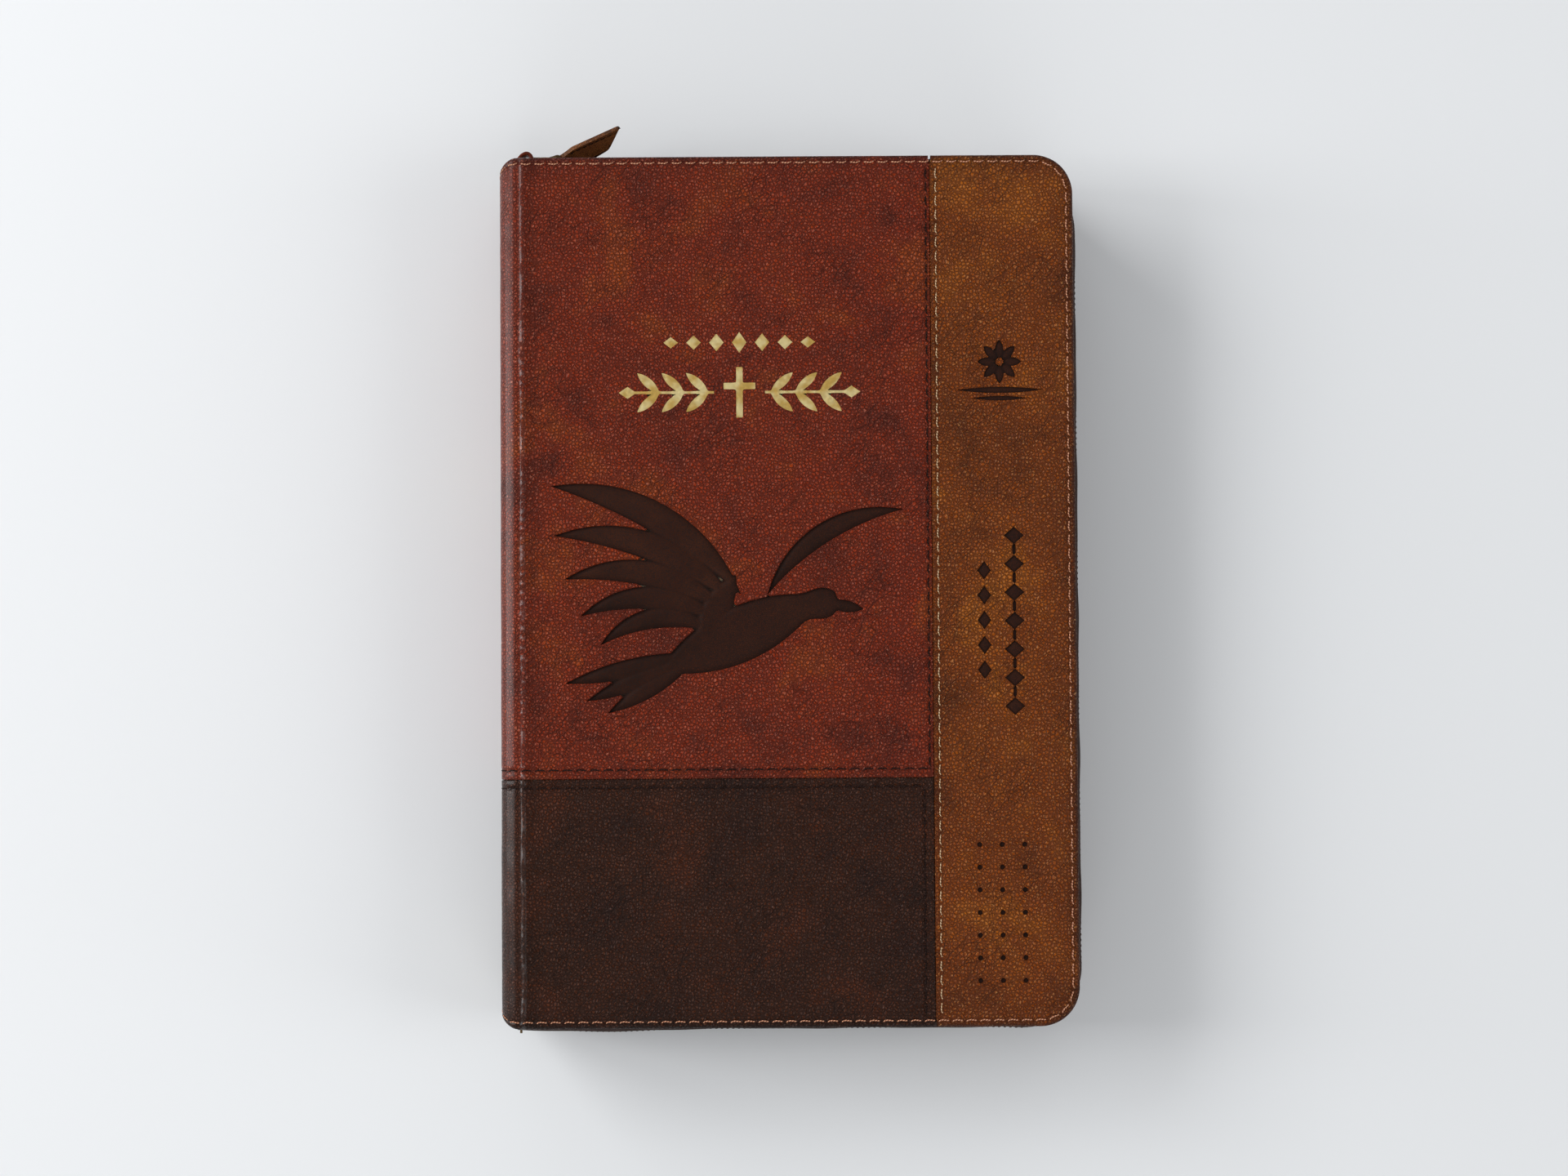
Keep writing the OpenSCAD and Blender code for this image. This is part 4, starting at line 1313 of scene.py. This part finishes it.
def zip_teeth(name, body, node, sign, first_x, shift):
    """Separate teeth along the tape, each pointing at the other row's gaps."""
    points, ways = zip_route(TEETH_START_X, step=0.25)
    low, high = edges_of(node)
    root = high[2] if sign > 0 else low[2]
    steps = np.concatenate([[0], np.cumsum(np.hypot(*np.diff(points, axis=0).T))])
    shape = tooth_shape()
    placed, faces = [], []
    count = int(steps[-1] / TOOTH_PITCH) - 1
    for k in range(count):
        run = (k + 0.5 + shift) * TOOTH_PITCH
        x, y = np.interp(run, steps, points[:, 0]), np.interp(run, steps, points[:, 1])
        if y > 0 and x < first_x:
            continue
        way = np.array([np.interp(run, steps, ways[:, 0]), np.interp(run, steps, ways[:, 1])])
        way = way / np.hypot(*way)
        side = np.array([way[1], -way[0]])
        base = len(placed)
        for a, b, z in shape:
            spot = np.array([x, y]) + side * a + way * (b - TEETH_IN_TAPE)
            placed.append((spot[0], spot[1], root - sign * z))
        tooth = [[base + v for v in face] for face in ring_faces(5, 12)]
        faces += [face[::-1] for face in tooth] if sign < 0 else tooth
    return piece(name, placed, faces, ZIP_TEETH, body, "zip_teeth", (node,), crease=55)


zip_tape("back_tape", "back_cover", "back_zip_tape", -1, ZIP_START_X)
zip_tape("front_tape", "front_cover", "front_zip_tape", 1, FRONT_ZIP_CUT_X)
zip_teeth("back_teeth", "back_cover", "back_zip_teeth", -1, TEETH_START_X, 0.0)
zip_teeth("front_teeth", "front_cover", "front_zip_teeth", 1, FRONT_ZIP_CUT_X, 0.5)


# ---------------------------------------------------------------- zip ends, slider and pull


def strap(name, route, half_width, thick, material, body, slot, replaces=(), rings=16):
    """A leather strap: a flat oval section swept along a route of (x, y) with upright width."""
    route = np.array(route, dtype=float)
    ahead = np.gradient(route, axis=0)
    ahead /= np.linalg.norm(ahead, axis=1)[:, None]
    placed, lie, wear_and_painted_light = [], [], []
    run = 0.0
    for n, (spot, way) in enumerate(zip(route, ahead)):
        run += math.dist(spot, route[n - 1]) if n else 0
        w = half_width[n] if hasattr(half_width, "__len__") else half_width
        for m in range(rings):
            t = 2 * math.pi * m / rings
            c, q = math.cos(t), math.sin(t)
            up = w * math.copysign(abs(c) ** 0.35, c)
            out = thick / 2 * math.copysign(abs(q) ** 0.6, q)
            placed.append((spot[0] - way[1] * out, spot[1] + way[0] * out, MID_Z + up))
            lie.append((run, up, out))
            wear_and_painted_light.append((max(0.0, 1 - (w - abs(up)) / 1.0), 0, 0))
    made = piece(name, placed, ring_faces(len(route), rings), material, body, slot, replaces, crease=60)
    write_attribute(made, "lie", lie)
    write_attribute(made, "wear_and_painted_light", wear_and_painted_light)
    return made


slider_high = edges_of("slider_body")[1]


def curve_through(points, count):
    """Smooth route through control points."""
    control = np.array([points[0], *points, points[-1]], dtype=float)
    out = []
    for k in range(len(points) - 1):
        a, b, c, d = control[k : k + 4]
        for t in np.linspace(0, 1, count, endpoint=False):
            out.append(
                0.5 * (
                    2 * b + (c - a) * t + (
                        2 * a - 5 * b + 4 * c - d
                    ) * t**2 + (3 * b - a - 3 * c + d) * t**3
                )
            )
    return out + [np.array(points[-1], dtype=float)]


END_X, END_Y = ZIP_START_X, slider_high[1]
strap(
    "zip_end_tab",
    curve_through([(END_X - 0.5, END_Y - 3.4), (END_X - 0.3, END_Y + 0.4), (END_X + 0.8, END_Y + 2.7),
                   (END_X + 2.4, END_Y + 3.7), (END_X + 3.6, END_Y + 3.0), (END_X + 3.9, END_Y + 1.5)], 6),
    2.6, 1.0, SIENNA_LIT_STRAP, "back_cover", "pull_leather", ("zip_stop_head",),
)


def joint_place(name):
    """Where a joint turns, in mm."""
    joint = next(j for j in frame["record"]["behaviour"]["joints"] if j["name"] == name)
    return np.array(joint["pos_m"]) / MM


def pull_tab():
    """Leather folded round the cross bar, its leaves glued and sewn; the tip is cut aslant."""
    bar, pin = joint_place("pull_tab_swing"), joint_place("pull_link_swing")
    way = (bar - pin) / np.linalg.norm(bar - pin)
    out = np.array([-way[1], way[0], 0])
    roll = math.radians(20)
    length, half, neck, thick = 17.8, 5.0, 2.4, 1.3
    rows, across = 46, 22
    slant_from = 13.4

    def edges_at(s):
        """Lower and upper edge of the strap at a distance s from the bar."""
        widen = min(1.0, max(0.0, s / 4.5))
        over = max(0.0, s - length + 0.9)
        top = half - 0.9 + math.sqrt(max(0.0, 0.81 - over * over))
        low = -half + 1.8 * min(1.0, max(0.0, (s - 4.5) / 9.0))
        slant = low + 1.9 * (s - slant_from)
        low = 0.5 * (low + slant + math.hypot(low - slant, 0.9))
        return min(-neck + (low + neck) * widen, top - 0.3), neck + (top - neck) * widen

    def spot_at(s, w, side):
        """Point on the strap: it leans over, its foot drawn in and its tip standing away from the book."""
        lean = roll * ease(s, 0.0, 4.5)
        curl = -0.6 * ease(s, 0.6, 4.5) + 1.5 * max(0.0, s - 4.5) / 12.8
        spot = bar + way * s + out * (curl + math.cos(lean) * side + math.sin(lean) * w)
        spot[2] += math.cos(lean) * w - math.sin(lean) * side
        return spot

    placed, lie, wear_and_painted_light = [], [], []
    for n in range(rows):
        s = -0.2 + (length + 0.2) * (1 - (1 - n / (rows - 1)) ** 1.35)
        bottom, top = edges_at(s)
        for m in range(across * 2):
            front = m < across
            t = (m + 0.5) / across if front else (2 * across - m - 0.5) / across
            w = bottom + (top - bottom) * t
            near_edge = min(top - w, w - bottom)
            puff = thick / 2 * (0.45 + 0.55 * min(1.0, near_edge / 0.5) ** 0.5)
            groove = 0.12 * math.exp(-(((near_edge - 1.1) / 0.22) ** 2)) * ease(s, 2, 4)
            end = min(1.0, (length - s) / 0.5 + 0.35)
            side = (1 if front else -1) * (puff - groove) * end
            placed.append(spot_at(s, w, side))
            lie.append((s, w, side))
            # Worn edges and tip, and painted shade along the sewn groove.
            edge_wear_and_groove_shade = max(
                math.exp(-near_edge / 0.35),
                math.exp(-(length - s) / 0.5),
                0.7 * math.exp(-(((near_edge - 1.1) / 0.2) ** 2)),
            )
            wear_and_painted_light.append((edge_wear_and_groove_shade, 0, 0))
    faces = ring_faces(rows, across * 2)
    made = piece(
        "pull_strap",
        placed,
        [f[::-1] for f in faces],
        PULL_LIT,
        "tab",
        "pull_leather",
        ("pull_tab",),
        crease=50,
    )
    write_attribute(made, "lie", lie)
    write_attribute(made, "wear_and_painted_light", wear_and_painted_light)
    loop, lie = [], []
    for n in range(21):
        t = 2 * math.pi * n / 20
        for m in range(12):
            a = 2 * math.pi * m / 12
            up = 2.4 * math.copysign(abs(math.cos(a)) ** 0.3, math.cos(a))
            r = 0.86 + 0.18 * math.sin(a)
            spot = bar + way * r * math.cos(t) + out * r * math.sin(t)
            spot[2] += up
            loop.append(spot)
            lie.append((t, up, r))
    made = piece(
        "pull_loop", loop, ring_faces(21, 12, closed_ends=False), PULL_LIT, "tab", "pull_leather", crease=60
    )
    write_attribute(made, "lie", lie)
    write_attribute(made, "wear_and_painted_light", [(0.5, 0, 0)] * len(loop))
    stitch, faces, lie = [], [], []
    for side in (1, -1):
        for upper in (True, False):
            for k in range(7 if upper else 5):
                base = len(stitch)
                for n in range(5):
                    s = 3.4 + k * 1.75 + 1.25 * n / 4
                    bottom, top = edges_at(s)
                    row = top - 1.1 if upper else bottom + 1.1
                    rise = thick / 2 - 0.12 + 0.14 * math.sin(math.pi * n / 4)
                    for m in range(6):
                        a = 2 * math.pi * m / 6
                        stitch.append(
                            spot_at(s, row + 0.16 * math.cos(a), side * (rise + 0.13 * math.sin(a)))
                        )
                        lie.append((s, a, k))
                faces += [[base + q for q in f] for f in ring_faces(5, 6)]
    made = piece("pull_stitches", stitch, faces, DARK_THREAD, "tab", "thread_dark")
    write_attribute(made, "lie", lie)


pull_tab()


# ---------------------------------------------------------------- joint linings under the hinge leather


LINER_DEPTH = -1.8


def joint_liner(name, back):
    """Closed strip of lining leather along the hinge, beneath the outer skin."""
    place = on_back if back else on_front
    us = grid_lines(HINGE_X - SHOULDER_ARC - 2.0, HINGE_X + 2.2, 0.5)
    points, lie = [], []
    inner = LINER_DEPTH
    for v in (-HEAD_Y + 3.2, HEAD_Y - 3.2):
        for u in us:
            for h in (-1.15, inner):
                points.append(place(np.array([u]), np.array([v]), np.array([h]))[0])
                lie.append((u, v, h))
    n = len(us)
    faces = []
    for k in range(n - 1):
        a, b = 2 * k, 2 * k + 2
        c, d = a + 2 * n, b + 2 * n
        faces += [[a, b, d, c], [a + 1, c + 1, d + 1, b + 1], [a, a + 1, b + 1, b], [c, d, d + 1, c + 1]]
    faces += [[0, 2 * n, 2 * n + 1, 1], [2 * n - 2, 2 * n - 1, 4 * n - 1, 4 * n - 2]]
    if back:
        faces = [face[::-1] for face in faces]
    made = piece(name, points, faces, HINGE_LINING, None, "lining", crease=50)
    write_attribute(made, "lie", lie)
    write_attribute(made, "wear_and_painted_light", [(0.2, 0, 0)] * len(points))
    return made


HINGE_LINING = leather("hinge_lining_leather", "24150f", "2c1a13", "352017", "180d09",
                       rough=0.55, pebbles=2.2, relief=0.05, creasing=0.2)
bend_front(joint_liner("front_joint_lining", back=False))
bend_back(joint_liner("back_joint_lining", back=True))


# ---------------------------------------------------------------- pages


def page_plan(count=26):
    """The leaves' outline, from the back edge round the fore corners, as points and outward directions."""
    x0, x1, y1, r = pages_low[0], pages_high[0], pages_high[1], 6.0
    points, ways = [], []
    for k in range(count):
        points.append((x0 + (x1 - r - x0) * k / count, -y1))
        ways.append((0, -1))
    for k in range(9):
        t = -math.pi / 2 + math.pi / 2 * k / 9
        points.append((x1 - r + r * math.cos(t), -y1 + r + r * math.sin(t)))
        ways.append((math.cos(t), math.sin(t)))
    for k in range(2 * count):
        points.append((x1, -y1 + r + 2 * (y1 - r) * k / (2 * count)))
        ways.append((1, 0))
    for k in range(9):
        t = math.pi / 2 * k / 9
        points.append((x1 - r + r * math.cos(t), y1 - r + r * math.sin(t)))
        ways.append((math.cos(t), math.sin(t)))
    for k in range(count + 1):
        points.append((x1 - r + (x0 - x1 + r) * k / count, y1))
        ways.append((0, 1))
    return np.array(points), np.array(ways)


def page_block(name, node, body, seed):
    """A stack of leaves: its edges are many thin layers that don't quite line up."""
    low, high = edges_of(node)
    points, ways = page_plan()
    rng = np.random.default_rng(seed)
    rows = 60
    heights = np.linspace(low[2], high[2], rows)
    drift = np.cumsum(rng.normal(0, 0.05, rows))
    drift = drift - np.linspace(drift[0], drift[-1], rows)
    placed = []
    for n, z in enumerate(heights):
        step = (0.07 if n % 2 else -0.07) + np.clip(drift[n], -0.16, 0.16)
        local = 0.05 * np.sin(np.arange(len(points)) * 0.35 + n * 0.9)
        reach = np.minimum(step + local - 0.12, 0.05)
        reach[0] = reach[-1] = 0
        for (x, y), (a, b), r in zip(points, ways, reach):
            placed.append((x + a * r, y + b * r, z))
    ring = len(points)
    faces = ring_faces(rows, ring)
    made = piece(name, placed, faces, PAGE_EDGES, body, "page_edges", (node,), crease=30)
    made.data.materials.append(PAGE_PAPER)
    for polygon in made.data.polygons:
        if polygon.loop_total > 4:
            polygon.material_index = 1
    return made


page_block("front_leaves", "front_page_block", "front_pages", 11)
page_block("rear_leaves", "rear_page_block", "back_cover", 12)


def thin_leaf(name, node, body, slot="paper"):
    """A single leaf, a little thinner at its edge."""
    low, high = edges_of(node)
    points, _ = page_plan(18)
    points[:, 0] = low[0] + (points[:, 0] - pages_low[0]) * (high[0] - low[0]) / (
        pages_high[0] - pages_low[0]
    )
    middle = (low[2] + high[2]) / 2
    half = (high[2] - low[2]) / 2 - 0.015
    rings, placed = 14, []
    centre = np.array([(low[0] + high[0]) / 2, 0])
    for face in (1, -1):
        for k in range(rings):
            t = 1 - k / rings
            for p in points:
                x, y = centre + (p - centre) * t
                placed.append((x, y, middle + face * half * (1 if k else 0.6)))
    ring = len(points)
    faces = []
    for f in range(2):
        for k in range(rings - 1):
            for m in range(ring):
                a = (f * rings + k) * ring + m
                b = (f * rings + k) * ring + (m + 1) % ring
                quad = [a, b, b + ring, a + ring]
                faces.append(quad if f == 0 else quad[::-1])
        last = list(range((f * rings + rings - 1) * ring, (f * rings + rings) * ring))
        faces.append(last if f == 0 else last[::-1])
    for m in range(ring):
        a, b = m, (m + 1) % ring
        faces.append([a, a + rings * ring, b + rings * ring, b])
    return piece(name, placed, faces, PAGE_PAPER, body, slot, (node,), crease=60)


thin_leaf("front_endpaper", "front_flyleaf", "front_pages")
thin_leaf("rear_endpaper", "rear_flyleaf", "back_cover")
thin_leaf("single_leaf", "loose_leaf", "leaf")


GAUZE_OFF_PAGES, GAUZE_THICK, GAUZE_COCKLE = 0.02, 0.1, 0.03


def glued_gauze(name, body, low_z, high_z, replaces=()):
    """Gauze glued to the backs of the leaves, cockled between the sections."""
    columns, rows = 60, 12
    points = []
    for face in (0, 1):
        for n in range(rows):
            z = low_z + (high_z - low_z) * n / (rows - 1)
            for m in range(columns):
                y = -pages_high[1] + 1 + 2 * (pages_high[1] - 1) * m / (columns - 1)
                cockle = GAUZE_COCKLE * math.sin(y / 3.1) * math.sin(z * 1.3)
                x = pages_low[0] - GAUZE_OFF_PAGES - face * (GAUZE_THICK + cockle)
                points.append((x, y, z))
    layer = rows * columns
    faces = []
    for n in range(rows - 1):
        for m in range(columns - 1):
            a = n * columns + m
            faces.append([a, a + 1, a + 1 + columns, a + columns])
            faces.append([layer + a, layer + a + columns, layer + a + 1 + columns, layer + a + 1])
    rim = list(range(columns)) + [n * columns + columns - 1 for n in range(1, rows)]
    rim += [(rows - 1) * columns + m for m in range(columns - 2, -1, -1)]
    rim += [n * columns for n in range(rows - 2, 0, -1)]
    for a, b in zip(rim, rim[1:] + rim[:1]):
        faces.append([a, a + layer, b + layer, b])
    return piece(name, points, faces, GLUE, body, "glue", replaces, crease=50)


rear_low, rear_high = edges_of("rear_page_block")
glued_gauze("rear_gauze", "back_cover", rear_low[2] + 0.1, rear_high[2] - 0.1, ("spine_glue",))
glued_gauze("front_gauze", "front_pages", pages_low[2] + 0.1, pages_high[2] - 0.1)


def corded_band(name, node, body, z0, z1):
    """Silk worked over a cord in close ribs, one length for each half of the pages."""
    low, high = edges_of(node)
    cx, cy = (low[0] + high[0]) / 2, (low[1] + high[1]) / 2
    r = min(high[0] - low[0], high[1] - low[1]) / 2
    rows, ring = 110, 14
    placed = []
    for n in range(rows):
        z = z0 + (z1 - z0) * n / (rows - 1)
        rib = r * (0.86 + 0.12 * abs(math.sin((z - z0) * math.pi / 0.9)))
        for m in range(ring):
            t = 2 * math.pi * m / ring
            placed.append((cx + rib * math.cos(t), cy + rib * math.sin(t), z))
    replaced = (node,) if body == "back_cover" else ()
    return piece(name, placed, ring_faces(rows, ring), BAND, body, "band", replaced, crease=80)


for node in ("headband", "tailband"):
    band_low, band_high = edges_of(node)
    corded_band("rear_" + node, node, "back_cover", band_low[2] + 0.2, MID_Z - 0.25)
    corded_band("front_" + node, node, "front_pages", MID_Z + 0.25, band_high[2] - 0.2)


# ---------------------------------------------------------------- finish for the CAD nodes that stay


def finish_node(name, material, bevel=0.0):
    """A material for a CAD node whose shape is right, with softly rounded edges."""
    node = frame["nodes"][name]
    node.data.materials.clear()
    node.data.materials.append(material)
    if bevel:
        soft = node.modifiers.new("rounded", "BEVEL")
        soft.width = bevel * MM
        soft.segments = 2
        soft.limit_method = "ANGLE"


for name in ("front_board", "back_board", "spine_stiffener"):
    finish_node(name, BOARD)
for name in ("front_lining", "back_lining", "spine_lining"):
    finish_node(name, LINING, 0.15)
for name in ("slider_body", "slider_bail", "pull_link", "zip_stop_tail"):
    finish_node(name, ANTIQUE, 0.2)
finish_node("spine_foil", GOLD_BARE)


# ---------------------------------------------------------------- floor, light and camera

floor_mesh = bpy.data.meshes.new("floor")
floor_mesh.from_pydata([(-3, -3, 0), (3, -3, 0), (3, 3, 0), (-3, 3, 0)], [], [(0, 1, 2, 3)])
floor = bpy.data.objects.new("floor", floor_mesh)
bpy.context.scene.collection.objects.link(floor)
floor.location.z = -0.0002
floor_paint, floor_tree, floor_surface = start_material("pale_floor")
floor_noise = add(floor_tree, "ShaderNodeTexNoise", {"Scale": 3.0, "Detail": 2.0}).outputs[0]
floor_tree.links.new(
    blend_colour(floor_tree, spread(floor_tree, floor_noise, 0.3, 0.7), srgb("e4e6e8"), srgb("e9ebec")),
    floor_surface.inputs["Base Color"],
)
floor_surface.inputs["Roughness"].default_value = 0.6
floor_mesh.materials.append(floor_paint)


def lamp(name, place, size, watts, aim=(0, 0, 0.02), tint=(1, 1, 1)):
    data = bpy.data.lights.new(name, "AREA")
    data.shape = "RECTANGLE"
    data.size, data.size_y = size
    data.energy = watts
    data.color = tint
    made = bpy.data.objects.new(name, data)
    bpy.context.scene.collection.objects.link(made)
    made.location = place
    made.rotation_euler = (Vector(aim) - Vector(place)).to_track_quat("-Z", "Y").to_euler()
    made.visible_camera = False
    return made


lamp("key_light", (-1.15, 0.75, 1.05), (0.8, 0.8), 12.3)
lamp("left_panel", (-1.5, 0.1, 0.6), (0.4, 1.9), 17.5)
lamp("right_panel", (1.8, -0.2, 0.8), (0.9, 2.2), 15.0)
lamp("head_panel", (0.0, 1.8, 0.7), (2.2, 0.9), 7.0)
lamp("tail_panel", (0.2, -1.8, 0.8), (2.2, 0.9), 12.5)
world = bpy.data.worlds.new("room")
world.use_nodes = True
world.node_tree.nodes["Background"].inputs[0].default_value = (0.97, 0.98, 1.0, 1)
world.node_tree.nodes["Background"].inputs[1].default_value = 0.32
bpy.context.scene.world = world
bpy.context.scene.view_settings.view_transform = "Standard"

LENS, SENSOR = 85.0, 36.0
FIELD_WIDTH = 396.8
TILT = math.radians(2.6)
ROLL = math.radians(-0.35)
AIM = Vector((-1.0, 0.4, TOP_Z)) * MM
camera_data = bpy.data.cameras.new("camera")
camera_data.lens = LENS
camera_data.sensor_width = SENSOR
camera = bpy.data.objects.new("camera", camera_data)
bpy.context.scene.collection.objects.link(camera)
distance = FIELD_WIDTH * MM * LENS / SENSOR
camera.matrix_world = (
    Matrix.Translation(AIM)
    @ Matrix.Rotation(TILT, 4, "X")
    @ Matrix.Rotation(ROLL, 4, "Z")
    @ Matrix.Translation((0, 0, distance))
)
bpy.context.scene.camera = camera
